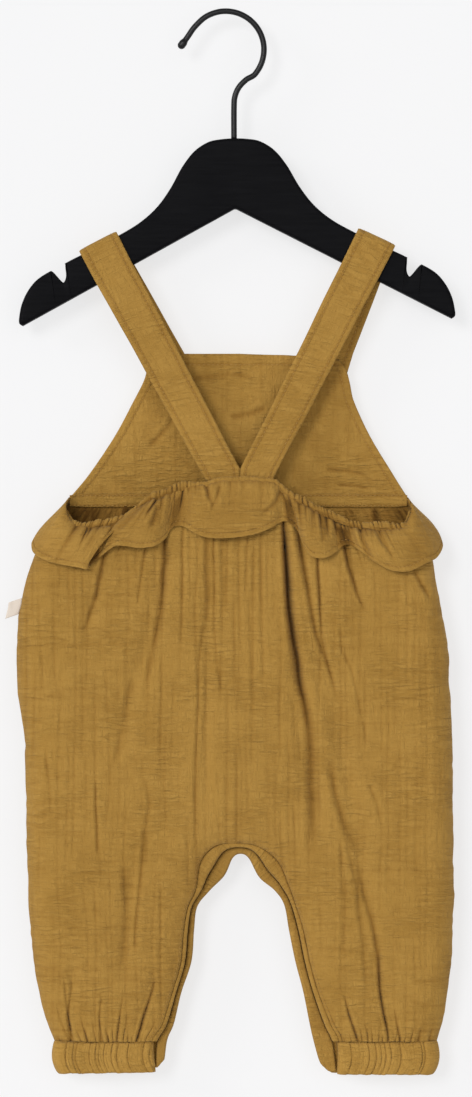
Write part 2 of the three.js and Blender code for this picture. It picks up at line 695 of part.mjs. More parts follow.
// Edges of each strap at its sewn ends, at the fork above the back waist and over the hanger's arm.
const STRAPS = [
  {
    name: "strap_left",
    backEnd: { outer: [-18.6, -8.6], inner: [0.85, -8.6] },
    fork: { outer: [-25.4, -20.4], inner: [0.85, -20.4] },
    arm: { outer: [-103.4, -161.2], inner: [-79.2, -173.8] },
    bibTop: { outer: [-63.4, -95], inner: [-35.6, -96.6] },
    bibEnd: { outer: [-55, -80], inner: [-28.5, -82] },
  },
  {
    name: "strap_right",
    backEnd: { outer: [20.6, -8.6], inner: [1.35, -8.6] },
    fork: { outer: [26.2, -21], inner: [1.35, -20.4] },
    arm: { outer: [101.6, -164.8], inner: [77.6, -176] },
    bibTop: { outer: [74.6, -96], inner: [47.6, -96] },
    bibEnd: { outer: [69, -77], inner: [43, -79] },
  },
];

// Sections of a strap from its end at the back waist, up, over the arm and down to the bib.
function strapSections({ backEnd, fork, arm, bibTop: top, bibEnd }) {
  const armDirection = [arm.inner[0] - arm.outer[0], arm.inner[1] - arm.outer[1]];
  const armLength = Math.hypot(...armDirection);
  // Down along the strap, square to the arm.
  const flip = armDirection[0] < 0 ? -1 : 1;
  const down = [(-armDirection[1] / armLength) * flip, (armDirection[0] / armLength) * flip];
  const lowered = ({ outer, inner }, by) => ({
    outer: [outer[0] + down[0] * by, outer[1] + down[1] * by],
    inner: [inner[0] + down[0] * by, inner[1] + down[1] * by],
  });
  const between = (a, b, t) => ({
    outer: [mix(a.outer[0], b.outer[0], t), mix(a.outer[1], b.outer[1], t)],
    inner: [mix(a.inner[0], b.inner[0], t), mix(a.inner[1], b.inner[1], t)],
  });
  const faceY = HANGER_THICK / 2 + ARM_OFF;
  const under = lowered(arm, STRAP_ROUND);
  const sections = [
    { ...backEnd, y: -STRAP_END_Y },
    { ...fork, y: -STRAP_END_Y - 0.3 },
  ];
  for (const t of [0.25, 0.5, 0.75, 1]) sections.push({ ...between(fork, under, t), y: -faceY });
  for (const angle of [22.5, 45, 67.5, 90]) {
    const a = THREE.MathUtils.degToRad(angle);
    const y = -faceY + STRAP_ROUND * (1 - Math.cos(a));
    sections.push({ ...lowered(arm, STRAP_ROUND * (1 - Math.sin(a))), y });
  }
  for (const angle of [90, 67.5, 45, 22.5, 0]) {
    const a = THREE.MathUtils.degToRad(angle);
    const y = faceY - STRAP_ROUND * (1 - Math.cos(a));
    sections.push({ ...lowered(arm, STRAP_ROUND * (1 - Math.sin(a))), y });
  }
  for (const t of [0.25, 0.5, 0.75, 1]) {
    sections.push({ ...between(under, top, t), y: mix(faceY, BIB_STRAP_Y, t * t) });
  }
  sections.push({ ...bibEnd, y: BIB_STRAP_Y + 0.5 });
  return sections;
}

function strapSheet(strap) {
  const sections = strapSections(strap);
  const left = strap.arm.outer[0] < 0;
  return sheet(
    4,
    sections.length - 1,
    (share, _, __, row) => {
      const { outer, inner, y } = sections[sections.length - 1 - row];
      const t = left ? share : 1 - share;
      return onGarment(mix(outer[0], inner[0], t), mix(outer[1], inner[1], t), y);
    },
    "front",
  );
}

// Side label: a bare tab folded out of the left side seam

const LABEL = { drop: 63.4, width: 10.6, reach: 8.6, slant: 0.35 };

function sideLabel() {
  return sheet(
    2,
    1,
    (share, down) => {
      const seamDrop = LABEL.drop + LABEL.width * down;
      const out = LABEL.reach * (1 - share);
      const seamX = -trousersAt(seamDrop).left - SEAM_GAP;
      return onGarment(seamX - out, seamDrop + LABEL.slant * out, 0);
    },
    "back",
    "x",
  );
}

// Hanger

const HANGER_X = 5.4; // the hook's stem and the hanger's middle line
const HANGER_TOP = -81;
const HANGER_TILT = THREE.MathUtils.degToRad(1);
const EDGE_ROUND = 2;
const WIRE_RADIUS = 1.9;
const HOOK_RADIUS = 24.9; // to the middle of the wire

// The upper edge of one arm, out from the middle of the neck and down from its top.
const ARM_TOP = [
  { out: 9, down: 0.5 },
  { out: 17, down: 2.2 },
  { out: 26, down: 8 },
  { out: 34, down: 18 },
  { out: 42, down: 32 },
  { out: 51, down: 44 },
  { out: 62, down: 53.5 },
  { out: 75, down: 61.2 },
  { out: 109.5, down: 78.4 },
  { out: 111, down: 80.5 },
  { out: 110.6, down: 87.5 },
  { out: 112, down: 91.4 },
  { out: 113.8, down: 90.6 },
  { out: 119.2, down: 84.6 },
  { out: 122, down: 84.8 },
  { out: 130, down: 90 },
  { out: 136, down: 97.4 },
  { out: 139.8, down: 105.6 },
  { out: 141.4, down: 113 },
  { out: 141.6, down: 117.6 },
  { out: 139.4, down: 119.4 },
];
const ARCH_TOP = 45.5; // the peak under the neck

function hangerBody() {
  const outline = new THREE.Shape();
  const right = ARM_TOP.map(({ out, down }) => [out, -down]);
  const left = ARM_TOP.map(({ out, down }) => [-out, -down]).reverse();
  outline.moveTo(0, -ARCH_TOP);
  for (const [x, z] of [...left, [0, 0], ...right]) outline.lineTo(x, z);
  outline.closePath();
  const geometry = new THREE.ExtrudeGeometry(outline, {
    depth: HANGER_THICK - 2 * EDGE_ROUND,
    bevelEnabled: true,
    bevelThickness: EDGE_ROUND,
    bevelSize: 0.9,
    bevelOffset: -0.9,
    bevelSegments: 2,
    steps: 1,
  });
  geometry.translate(0, 0, EDGE_ROUND - HANGER_THICK / 2);
  geometry.rotateX(Math.PI / 2);
  const body = mesh("hanger_body", geometry, BLACK_LACQUER);
  body.position.set(HANGER_X, 0, HANGER_TOP);
  body.rotation.y = -HANGER_TILT;
  return body;
}

// The wire from its turned-out tip, round the crown and down the stem.
function hookPath() {
  const centreZ = WIRE_RADIUS - HOOK_RADIUS;
  const points = [new THREE.Vector3(-28.2, 0, -19.6), new THREE.Vector3(-24.6, 0, -14.6)];
  for (const angle of [143, 120, 97, 74, 51, 28, 5, -18, -40]) {
    const a = THREE.MathUtils.degToRad(angle);
    points.push(new THREE.Vector3(HOOK_RADIUS * Math.cos(a), 0, centreZ + HOOK_RADIUS * Math.sin(a)));
  }
  const stem = [
    { x: 13.4, z: -42.6 },
    { x: 8.6, z: -47.6 },
    { x: 6, z: -53.6 },
    { x: HANGER_X, z: -61 },
    { x: HANGER_X, z: HANGER_TOP + SEAM_GAP },
  ];
  points.push(...stem.map(({ x, z }) => new THREE.Vector3(x, 0, z)));
  return new THREE.CatmullRomCurve3(points);
}

function hook() {
  const section = new THREE.Shape(
    count(8).map((i) => {
      const a = (i / 8) * 2 * Math.PI;
      return new THREE.Vector2(WIRE_RADIUS * Math.cos(a), WIRE_RADIUS * Math.sin(a));
    }),
  );
  return mesh("hook", new THREE.ExtrudeGeometry(section, { steps: 42, extrudePath: hookPath() }), BLACK_WIRE);
}

function hookTip() {
  const path = hookPath();
  const start = path.getPointAt(0);
  const away = path.getTangentAt(0).negate();
  const tip = mesh("hook_tip", new THREE.CapsuleGeometry(2.5, 1.6, 3, 10), BLACK_WIRE);
  tip.quaternion.setFromUnitVectors(new THREE.Vector3(0, 1, 0), away);
  tip.position.copy(start).addScaledVector(away, 3.3 + SEAM_GAP);
  return tip;
}

const dungarees = new THREE.Group();
dungarees.add(
  sewn("back_panel", backPanel()),
  sewn("front_panel", frontPanel()),
  sewn("back_waist_casing", casingSheet(), CASING_THICK),
  sewn("back_ruffle", ruffleSheet()),
  sewn("bib", bibSheet()),
  sewn("front_waist_band", waistBandSheet()),
  sewn("back_placket", backPlacket()),
  sewn("front_placket", frontPlacket()),
  ...pressStuds(),
  sewn("cuff_left", cuffSheet(-1), 1.8),
  sewn("cuff_right", cuffSheet(1), 1.8),
  ...STRAPS.map((strap) => sewn(strap.name, strapSheet(strap), STRAP_THICK)),
  sewn("side_label", sideLabel(), 1, LABEL_COTTON),
  hangerBody(),
  hook(),
  hookTip(),
);

export default dungarees;
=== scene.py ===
"""Kids dungarees in mustard double gauze, hung by their straps on a child's black wooden hanger.

Sizes are in millimetres until a mesh is made. Places on the garment are x from its middle line, y from
the middle plane (the back, with its ruffle, is towards -y) and drop below the front waist seam.
"""

import math
from functools import lru_cache

import bpy
import numpy as np
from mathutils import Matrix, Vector


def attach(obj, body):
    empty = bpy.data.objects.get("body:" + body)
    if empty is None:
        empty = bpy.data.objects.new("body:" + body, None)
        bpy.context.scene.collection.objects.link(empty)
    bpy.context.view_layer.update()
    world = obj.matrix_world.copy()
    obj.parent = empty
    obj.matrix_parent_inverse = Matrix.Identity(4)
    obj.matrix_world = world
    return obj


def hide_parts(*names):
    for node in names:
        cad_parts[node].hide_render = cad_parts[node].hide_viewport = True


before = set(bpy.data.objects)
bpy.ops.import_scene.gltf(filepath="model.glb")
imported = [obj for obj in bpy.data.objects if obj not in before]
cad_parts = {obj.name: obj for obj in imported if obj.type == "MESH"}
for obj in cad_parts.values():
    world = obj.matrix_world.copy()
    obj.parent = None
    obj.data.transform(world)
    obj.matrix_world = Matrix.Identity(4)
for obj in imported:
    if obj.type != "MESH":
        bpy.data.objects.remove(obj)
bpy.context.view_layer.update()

BODY = "root"
MM = 0.001
CLOTH = 1.1
GARMENT_X = 8.3
WAIST_Z = -316.0
WAIST_HALF = 110.8
SIDE_ROUND = 14.0
INSEAM_ROUND = 26.0
BACK_EDGE = 7.2
FRONT_EDGE = 4.5
ANKLE = 351.0
CUFF_HEIGHT = 21.0
CASING_HEIGHT = 5.0
CROTCH = 10
SEAM = 0.05
SIDE_CROTCH = 206.0
FRONT_SEAM_IN = 4.0

# The photograph's frame, for the camera.
PHOTO_WIDTH, PHOTO_HEIGHT = 472, 1097
MM_PER_PIXEL = 0.65
CROWN_PIXEL = (225.7, 14.1)



def rows(names, *values):
    """A table as a list of rows, each with its named columns."""
    return [dict(zip(names.split(), row)) for row in values]



TROUSERS = rows(
    "drop left right depth",
    (0, 110.8, 110.8, 8.4),
    (20, 124.5, 121.5, 10),
    (39, 134, 126.5, 12),
    (65, 141.4, 131, 13.5),
    (95, 144, 135.8, 14.5),
    (122, 144, 137.2, 15),
    (161, 138.8, 139, 15),
    (239, 137.2, 140, 14),
    (280, 135, 139.5, 12.8),
    (309, 131.5, 137, 11.5),
    (335, 126, 133.5, 9.5),
    (351, 119.6, 129, 8.2),
)
INSEAM = rows(
    "seam_x seam_drop fold_x fold_drop lap",
    (-55, 369.2, -48.3, 368, 0.05),
    (-56.2, 351, -46.2, 351, 0.28),
    (-49.6, 340, -41.8, 340, 0.28),
    (-43, 319, -37, 320, 0.28),
    (-37.6, 300, -30.4, 299.5, 0.28),
    (-35.7, 280, -28.7, 279, 0.28),
    (-33, 264, -26.6, 264, 0.28),
    (-27.6, 252, -18.5, 253.6, 0.32),
    (-24.4, 234, -9, 244, 0.43),
    (-14, 223.6, -3.6, 232.6, 0.4),
    (1, 222.2, 1.8, 230, 0.28),
    (13, 224.4, 6.9, 233.2, 0.36),
    (25.5, 234, 13.5, 245.3, 0.48),
    (32.2, 248.6, 23.3, 253.6, 0.38),
    (37, 262, 29.6, 263, 0.26),
    (42.3, 279, 32.8, 280, 0.26),
    (46.6, 300, 36.9, 300, 0.26),
    (51.9, 319, 42, 319.5, 0.26),
    (60, 340, 46.1, 340, 0.24),
    (65.3, 351, 48.6, 351, 0.22),
    (65.3, 371.2, 54, 371.2, 0.05),
)
BACK_WAIST = rows(
    "x drop",
    (-110.8, 1.3), (-106, 9.5), (-98, 13.4), (-88, 14), (-70, 10.3), (-61, -0.7), (-45, -7.6), (-34, -11.3),
    (-20, -12), (-12, -14.4), (23, -13.5), (31, -7.5), (54, 6.3), (70, 13.6), (89, 15.8), (101, 15),
    (107.5, 9.5), (110.8, 1.3),
)
BIB = rows(
    "drop left right",
    (-95.5, 59.5, 62),
    (-86, 59.5, 69.5),
    (-78, 61.5, 72.2),
    (-65, 68, 75),
    (-42, 80.3, 85.5),
    (-20, 95, 98.8),
    (0, 110.8, 110.8),
)
# The ruffle from its left end to its right: where it is sewn on, where its hem hangs and how far its
# lobe bulges. Valleys between the lobes run from the seam down to the hem. An ease under 1 takes a column
# sideways soon after the seam.
RUFFLE = rows(
    "top_x hem_x hem_drop hem_y bulge ease",
    (-110.8, -132.6, 30, 5, 0, 1.15),
    (-110.8, -134.2, 28.4, -3, 0.5, 1.15),
    (-109.5, -132.4, 34.4, -12, 1, 1.15),
    (-106, -123.5, 39.5, -18, 2, 1.15),
    (-100, -113, 42, -20.5, 2.6, 1.15),
    (-91, -104.5, 43.4, -21, 2.8, 1.15),
    (-80, -98.8, 44.8, -20.8, 2.8, 0.8),
    (-71.8, -97.4, 44.4, -19.6, 2.6, 0.46),
    (-68.6, -95.8, 42.2, -10.8, -3.6, 0.36),
    (-64.2, -92.4, 39.6, -11.4, -3.2, 0.34),
    (-61, -87, 34.8, -17.6, 1.2, 0.52),
    (-58.4, -80, 30, -20.2, 2.4, 0.8),
    (-54.6, -72.5, 29.9, -21, 2.6, 1.0),
    (-50.6, -64, 31, -21, 2.4, 1.15),
    (-47, -54.5, 29.8, -19.6, 1.6, 1.15),
    (-43, -47.8, 25.4, -16.2, 0.2, 1.15),
    (-40, -44, 19.4, -13.4, -1, 1.15),
    (-37, -40.6, 16.9, -12.8, -1.2, 1.15),
    (-32, -35, 17.4, -14.4, 0.2, 1.15),
    (-26, -28.6, 21.2, -18, 1.6, 1.15),
    (-18, -20, 24.4, -20.2, 2, 1.15),
    (-6, -7, 24.6, -20.6, 1.6, 1.15),
    (8, 8, 22.8, -20.6, 1.6, 1.15),
    (20, 20, 18.6, -18, 1.4, 1.15),
    (26, 28.6, 13.9, -13.6, 0.4, 1.15),
    (29.5, 34, 15.5, -12.6, -1.8, 0.9),
    (33.5, 39, 21, -14.8, -0.6, 0.9),
    (40, 43, 30.6, -18.6, 2, 1.15),
    (46, 48, 36.6, -20.8, 2.4, 1.15),
    (53, 56, 37.4, -21, 1.8, 1.15),
    (60, 63.5, 33.2, -17, 0.4, 1.15),
    (64.6, 68.6, 29.2, -12.8, -2.2, 1.15),
    (69, 73.6, 29.6, -13.6, -1.2, 1.15),
    (75, 80, 33.6, -17.6, 1.4, 1.15),
    (81, 89, 40.4, -20.4, 2.4, 1.15),
    (89, 100, 45.8, -21.2, 2.6, 1.15),
    (98, 111, 45.8, -21, 2.2, 1.15),
    (106, 122, 40.6, -18, 1.4, 1.15),
    (110, 128.6, 37, -10, 0.8, 1.15),
    (110.8, 132.6, 30, 0, 0.4, 1.15),
    (110.8, 130.5, 25, 8, 0, 1.15),
)
# The main folds, with their half width and depth, the same in the solids.
BACK_FOLDS = rows(
    "x drop to_x to_drop half depth",
    (30, 22, 38, 130, 5, 4),
    (38, 130, 52, 214, 7, 2.6),
    (-48, 29, -52, 72, 8, 2.6),
    (-52, 72, -78, 156, 9, 2.2),
    (-87, 48, -100, 92, 8, 2.2),
    (-18, 29, -22, 200, 6, 2),
    (52, 39, 55, 104, 5, 2),
    (73, 29, 79, 70, 6, 2.4),
    (60, 117, 88, 290, 8, 2.4),
    (88, 290, 99, 348, 6, 2.4),
    (-68, 236, -76, 312, 8, 2.2),
    (-54, 305, -64, 348, 6, 2),
    (-107, 300, -108, 349, 6, 2),
)
FRONT_FOLDS = rows(
    "x drop to_x to_drop half depth",
    (-74, 8, -84, 110, 9, 2.6),
    (-30, 8, -38, 150, 8, 2.8),
    (12, 8, 14, 120, 8, 2.2),
    (52, 8, 64, 160, 9, 2.8),
    (88, 10, 98, 90, 8, 2.2),
    (-70, 200, -82, 330, 9, 2.4),
    (84, 190, 98, 325, 9, 2.4),
)
# Finer creases that only the cloth shows: the places they pass, and half width and depth at both ends.
BACK_CREASES = (
    (((29, 14), (29.8, 36), (31.4, 64), (35, 87), (38.6, 114), (42, 131), (45, 148), (46.7, 170), (47, 200),
      (47.6, 226), (51.7, 254)), (1.9, 4.2), (6.6, 0.4)),
    (((38.5, 18), (41.8, 42), (45.7, 64), (50.2, 87), (55.8, 103), (61.4, 120), (65.9, 137)),
     (2.4, 1.3), (3.3, 0.4)),
    (((50.6, 30), (51.3, 53), (52.5, 75), (54.7, 92), (58, 109), (61.4, 120)), (1.0, 1.2), (2.9, 0.4)),
    (((67, 27), (71.4, 44), (77, 61), (81.6, 72)), (1.9, 1.2), (3.4, 1)),
    (((65.9, 82), (67, 98), (72.6, 109), (79.3, 142), (82.7, 159)), (1.2, 1.2), (0.9, 0.5)),
    (((96.9, 351), (91.7, 318), (90.3, 297), (88.2, 282), (81.2, 254), (75.5, 226)), (1.0, 2.6), (3.2, 0.6)),
    (((75.5, 226), (67, 205), (58.6, 177), (53, 156)), (3.4, 3.0), (0.9, 0.4)),
    (((58.5, 170), (65.2, 201), (76.5, 250), (81, 291), (84.4, 327)), (2.4, 2.0), (0.9, 0.6)),
    (((66, 222), (68.5, 262), (66.5, 300)), (2.2, 2.0), (0.7, 0.5)),
    (((84, 184), (89.7, 198), (92.6, 212)), (1.5, 1.3), (1.0, 0.5)),
    (((113, 46), (118.5, 56), (124, 65)), (1.8, 1.8), (1.3, 1.5)),
    (((77, 351), (72, 335), (67.9, 319)), (1.4, 1.0), (3.0, 0.8)),
    (((80.4, 351), (79, 342)), (1.1, 1.0), (2.2, 0.7)),
    (((105, 351), (103, 341), (101.5, 328)), (1.3, 1.0), (2.2, 0.6)),
    (((115.8, 351), (117.9, 341)), (1.2, 1.0), (2.4, 0.7)),
    (((123.6, 351), (125.6, 341)), (1.2, 1.0), (2.2, 0.7)),
    (((-20.5, 12), (-20.5, 45), (-20, 82)), (3.6, 2.6), (1.6, 0.7)),
    (((-15.8, 14), (-15.8, 50), (-16.4, 80), (-14.7, 98), (-13, 114), (-11.4, 126)), (0.9, 1.6), (1.8, 0.5)),
    (((-10.6, 10), (-10.6, 40), (-11, 76)), (3.0, 2.4), (1.6, 0.6)),
    (((-23.1, 82), (-25.9, 103), (-26.5, 131), (-27.6, 160), (-28, 222)), (1.2, 1.2), (1.2, 0.9)),
    (((-1, 16), (0.5, 60), (2, 104)), (1.4, 1.2), (0.9, 0.5)),
    (((14, 12), (14.6, 60), (16, 130)), (1.4, 1.4), (0.9, 0.6)),
    (((6.5, 60), (8, 120), (8, 180)), (1.2, 1.2), (0.7, 0.5)),
    (((-49, 18), (-48, 40), (-51.5, 75), (-56, 100), (-62, 135)), (2.2, 2.2), (3.6, 0.6)),
    (((-87, 34), (-92, 60), (-101, 86)), (2.0, 1.4), (2.8, 0.9)),
    (((-60, 24), (-63, 50), (-66, 70)), (1.3, 1.1), (1.8, 0.6)),
    (((-36, 16), (-37, 60), (-38, 96)), (1.3, 1.2), (1.5, 0.6)),
    (((-70, 118), (-75, 148), (-82, 174)), (3.0, 2.4), (1.1, 0.5)),
    (((-92.5, 182), (-92.2, 205), (-91.6, 231)), (0.9, 1.2), (0.9, 1.5)),
    (((-60.2, 182), (-57.6, 196), (-61, 216), (-63.3, 240), (-66.5, 280), (-67.3, 296)),
     (1.8, 1.6), (0.7, 1.3)),
    (((-74, 240), (-73, 270), (-76, 306)), (3.4, 2.6), (0.9, 0.7)),
    (((-66.6, 351), (-61.8, 334), (-57, 321), (-54, 310)), (1.4, 1.0), (3.4, 0.8)),
    (((-108.6, 351), (-110.7, 334), (-107.8, 309)), (1.3, 0.9), (3.0, 0.6)),
    (((-107, 351), (-111, 332), (-113.2, 306)), (1.0, 0.9), (1.6, 0.5)),
    (((-89.5, 351), (-90.4, 335), (-88.7, 319)), (1.1, 0.9), (1.9, 0.6)),
    (((-79.2, 351), (-76.7, 334), (-74.4, 319)), (1.1, 0.9), (1.5, 0.6)),
    (((-98, 351), (-100, 342)), (1.2, 1.0), (2.0, 0.7)),
    (((-84, 351), (-86, 342)), (1.1, 1.0), (1.8, 0.7)),
    (((-124.8, 166), (-122, 190), (-121.6, 206)), (1.3, 1.2), (0.9, 0.6)),
)
FRONT_CREASES = (
    (((-74, 2), (-78, 50), (-82, 96)), (2.2, 1.4), (3.2, 0.8)),
    (((-30, 2), (-34, 70), (-37, 136)), (2.0, 1.4), (3.4, 0.8)),
    (((13, 2), (14, 60), (16, 104)), (2.2, 1.4), (2.6, 0.7)),
    (((53, 2), (57, 70), (64, 146)), (2.2, 1.4), (3.2, 0.8)),
    (((88, 3), (92, 40), (97, 84)), (2.0, 1.3), (2.6, 0.7)),
    (((-56, 2), (-60, 62)), (1.6, 1.2), (2.2, 0.7)),
    (((32, 2), (36, 84)), (1.6, 1.2), (2.2, 0.7)),
    (((-9, 2), (-10, 74)), (1.6, 1.2), (2.0, 0.6)),
    (((-94, 3), (-101, 64)), (1.6, 1.2), (2.0, 0.6)),
    (((-84, 351), (-81, 320), (-76, 268)), (1.5, 1.8), (3.2, 0.8)),
    (((101, 351), (98, 320), (92, 276)), (1.5, 1.8), (3.2, 0.8)),
    (((-104, 351), (-100, 312)), (1.3, 1.1), (2.6, 0.7)),
    (((80, 351), (76, 318)), (1.3, 1.1), (2.6, 0.7)),
    (((115, 351), (117, 330)), (1.3, 1.1), (2.2, 0.7)),
    (((-68, 351), (-64, 322)), (1.3, 1.1), (2.4, 0.7)),
    (((-58, 190), (-66, 262)), (1.8, 2.0), (0.9, 1.2)),
    (((60, 170), (76, 250)), (2.0, 2.2), (0.9, 1.2)),
)
RUFFLE_CREASES = (
    (((-21, -10), (-19.5, -2), (-16, 5)), (1.6, 1.8), (1.8, 0.6)),
    (((-12, -9), (-15, 0), (-18, 7)), (1.4, 1.4), (0.9, 0.5)),
    (((27, -6), (24, 2), (15, 9)), (2.0, 1.8), (1.7, 0.6)),
    (((-51, -3), (-56, 3), (-60, 9)), (1.3, 1.3), (2.4, 1.2)),
    (((-52, 3), (-54, 10), (-57, 18)), (2.2, 2.4), (1.9, 1.0)),
    (((-90, 12), (-96, 19), (-103, 24)), (1.6, 1.6), (1.5, 0.5)),
    (((77, 12), (80, 26), (86, 40)), (2.4, 2.6), (2.0, 0.9)),
    (((86, 16), (93, 28), (101, 39)), (1.5, 1.8), (1.4, 0.6)),
    (((54, 11), (56, 20), (55, 27)), (2.6, 2.6), (1.5, 0.7)),
)
BIB_CREASES = (
    (((66, -9.8), (75, -9.6), (86, -7.4)), (1.3, 1.2), (1.6, 0.9)),
    (((58, -20), (72, -19), (84, -16)), (1.8, 1.6), (0.9, 0.6)),
    (((-4, -55), (8, -57), (18, -61)), (2.2, 2.0), (1.2, 0.9)),
    (((-22, -40), (-8, -37)), (2.0, 2.0), (1.0, 0.7)),
    (((-58, -36), (-46, -48), (-42, -56)), (2.2, 2.0), (0.9, 0.6)),
    (((-30, -80), (-8, -82), (12, -80)), (2.4, 2.2), (0.8, 0.5)),
)


# Curves, distances and noise

def smooth(table, key=None):
    """A smooth curve through a table's rows, read at values of one column or of the row's number."""
    keys = np.array([row[key] for row in table] if key else range(len(table)), float)
    columns = {name: np.array([row[name] for row in table], float) for name in table[0] if name != key}
    last = len(table) - 1
    ahead = np.minimum(np.arange(last + 1) + 1, last)
    behind = np.maximum(np.arange(last + 1) - 1, 0)

    def read(value):
        value = np.asarray(value, float)
        i = np.clip(np.searchsorted(keys[1:-1], value, side="left"), 0, last - 1)
        span = keys[i + 1] - keys[i]
        t = np.clip((value - keys[i]) / span, 0, 1)
        out = {}
        for name, column in columns.items():
            slope = (column[ahead] - column[behind]) / (keys[ahead] - keys[behind])
            out[name] = (
                (2 * t**3 - 3 * t**2 + 1) * column[i]
                + (t**3 - 2 * t**2 + t) * span * slope[i]
                + (-2 * t**3 + 3 * t**2) * column[i + 1]
                + (t**3 - t**2) * span * slope[i + 1]
            )
        return out

    return read


sides_at = smooth(TROUSERS, "drop")
inseam_at = smooth(INSEAM)
back_waist_at = smooth(BACK_WAIST, "x")
bib_at = smooth(BIB, "drop")
ruffle_at = smooth(RUFFLE)


def together(*values):
    """The values as arrays of one shape."""
    return np.broadcast_arrays(*[np.asarray(value, float) for value in values])


def mix(a, b, t):
    return a + (b - a) * t


def bell(value, middle, width):
    """1 at the middle, falling off smoothly on both sides."""
    return np.exp(-(((value - middle) / width) ** 2))


def smoothstep(value, low, high):
    t = np.clip((value - low) / (high - low), 0, 1)
    return t * t * (3 - 2 * t)


def turning(distance, full):
    """Rises like a quarter circle from 0 at an edge to 1 at the full distance in."""
    return np.sqrt(np.maximum(0, 1 - (1 - np.clip(distance / full, 0, 1)) ** 2))


def fold_in(share, turn_share, radius, whole, span):
    """How far in from a fold a column lies, closer together on its round turn, and the turn's angle there."""
    turn = np.clip(share / turn_share, 0, 1) * math.pi / 2
    flat = np.clip((share - turn_share) / (whole - turn_share), 0, 1)
    return np.where(share <= turn_share, radius * (1 - np.cos(turn)), mix(radius, span, flat)), turn


def to_segment(x, drop, ax, ad, bx, bd):
    dx, dd = bx - ax, bd - ad
    t = np.clip(((x - ax) * dx + (drop - ad) * dd) / (dx * dx + dd * dd), 0, 1)
    return np.hypot(x - ax - t * dx, drop - ad - t * dd), t


@lru_cache(None)
def lattice(seed):
    return np.random.RandomState(seed).rand(256, 256)


def noise(x, y, seed):
    """Smooth noise from 0 to 1 with one value at each whole x and y."""
    x, y = together(x, y)
    xi, yi = np.floor(x).astype(int), np.floor(y).astype(int)
    fx, fy = x - xi, y - yi
    fx, fy = fx * fx * (3 - 2 * fx), fy * fy * (3 - 2 * fy)
    values = lattice(seed)
    corner = lambda i, j: values[(xi + i) & 255, (yi + j) & 255]
    low = mix(corner(0, 0), corner(1, 0), fx)
    high = mix(corner(0, 1), corner(1, 1), fx)
    return mix(low, high, fy)


def chance(cell, seed, column):
    """A number from 0 to 1 that belongs to a whole-numbered cell."""
    return lattice(seed)[cell.astype(int) & 255, column]


def lines(key, run, seed, width):
    """1 along thin uneven lines, about one to each unit of key, that wander, come and go along their run."""
    key, run = together(key, run)
    total = np.zeros(key.shape)
    for step in (-1, 0, 1):
        cell = np.floor(key) + step
        wander = 0.5 * (noise(cell * 7.3, run * 1.3, seed + 1) - 0.5)
        place = cell + 0.5 + 0.6 * (chance(cell, seed, 0) - 0.5) + wander
        strength = 0.4 + 0.6 * chance(cell, seed, 1)
        strength = strength * smoothstep(noise(cell * 5.1, run, seed + 2), 0.22, 0.7)
        total = np.maximum(total, strength * bell(key, place, width))
    return total


def pleats(key, away, reach, seed, width, depth):
    """Pleats that leave a seam, about one to each unit of key: deep at the seam, narrowing as they fade."""
    key, away = together(key, away)
    total = np.zeros(key.shape)
    for step in (-1, 0, 1):
        cell = np.floor(key) + step
        length = reach * (0.3 + 1.5 * chance(cell, seed, 0) ** 2)
        lean = (chance(cell, seed, 1) - 0.5) * away / reach
        place = cell + 0.5 + 0.6 * (chance(cell, seed, 2) - 0.5) + 0.5 * lean
        left = np.clip(1 - away / length, 0, 1)
        narrow = width * (0.7 + 0.6 * chance(cell, seed, 3)) * (0.5 + 0.5 * left)
        strength = (0.35 + 0.65 * chance(cell, seed, 4)) * left**1.2
        total = np.maximum(total, strength * bell(key, place, narrow))
    return -depth * total


def crinkle(across, along, seed, upright=1.0, level=1.0):
    """Height of double gauze: thin wandering upright creases and finer level ones that meet in puckers."""
    lean = 0.5 * noise(across / 40, along / 60, seed + 5)
    pins = lines(across / 4.3 + lean, along / 46, seed, 0.23)
    sway = 0.8 * noise(across / 24, along / 50, seed + 6)
    ripples = lines(along / 3.9 + sway, across / 12, seed + 20, 0.27)
    patches = smoothstep(noise(across / 30, along / 26, seed + 3), 0.25, 0.75)
    rolling = noise(across / 6, along / 7, seed + 4) - 0.5
    return -0.72 * upright * pins - 0.5 * level * ripples * (0.5 + 0.5 * patches) + 0.36 * rolling


# The filled-out trousers

def trousers_at(drop):
    """Reach of both sides and depth at a drop, with the sides' small unevenness."""
    at = sides_at(drop)
    fade = smoothstep(drop, 24, 40) * (1 - smoothstep(drop, 335, 350))
    for k, side in enumerate(("left", "right")):
        slow, quick = noise(drop / 13, 5 * k, 41) - 0.5, noise(drop / 4.2, 5 * k, 42) - 0.5
        at[side] = at[side] + fade * (1.1 * slow + 0.5 * quick)
    return at


seam_line = inseam_at(np.linspace(0, len(INSEAM) - 1, 81))


def from_inseam(x, drop):
    away = np.full(np.broadcast(x, drop).shape, np.inf)
    xs, drops = seam_line["seam_x"], seam_line["seam_drop"]
    for i in range(len(xs) - 1):
        away = np.minimum(away, to_segment(x, drop, xs[i], drops[i], xs[i + 1], drops[i + 1])[0])
    return away


def from_side(x, drop):
    at = trousers_at(drop)
    return np.minimum(x + at["left"], at["right"] - x) - CLOTH / 2


def pressed(folds, x, drop):
    total = 0
    for f in folds:
        away, t = to_segment(x, drop, f["x"], f["drop"], f["to_x"], f["to_drop"])
        fade = np.minimum(1, 0.35 + 4 * t * (1 - t))
        total = total + f["depth"] * np.exp(-2 * (away / f["half"]) ** 2) * fade
    return total


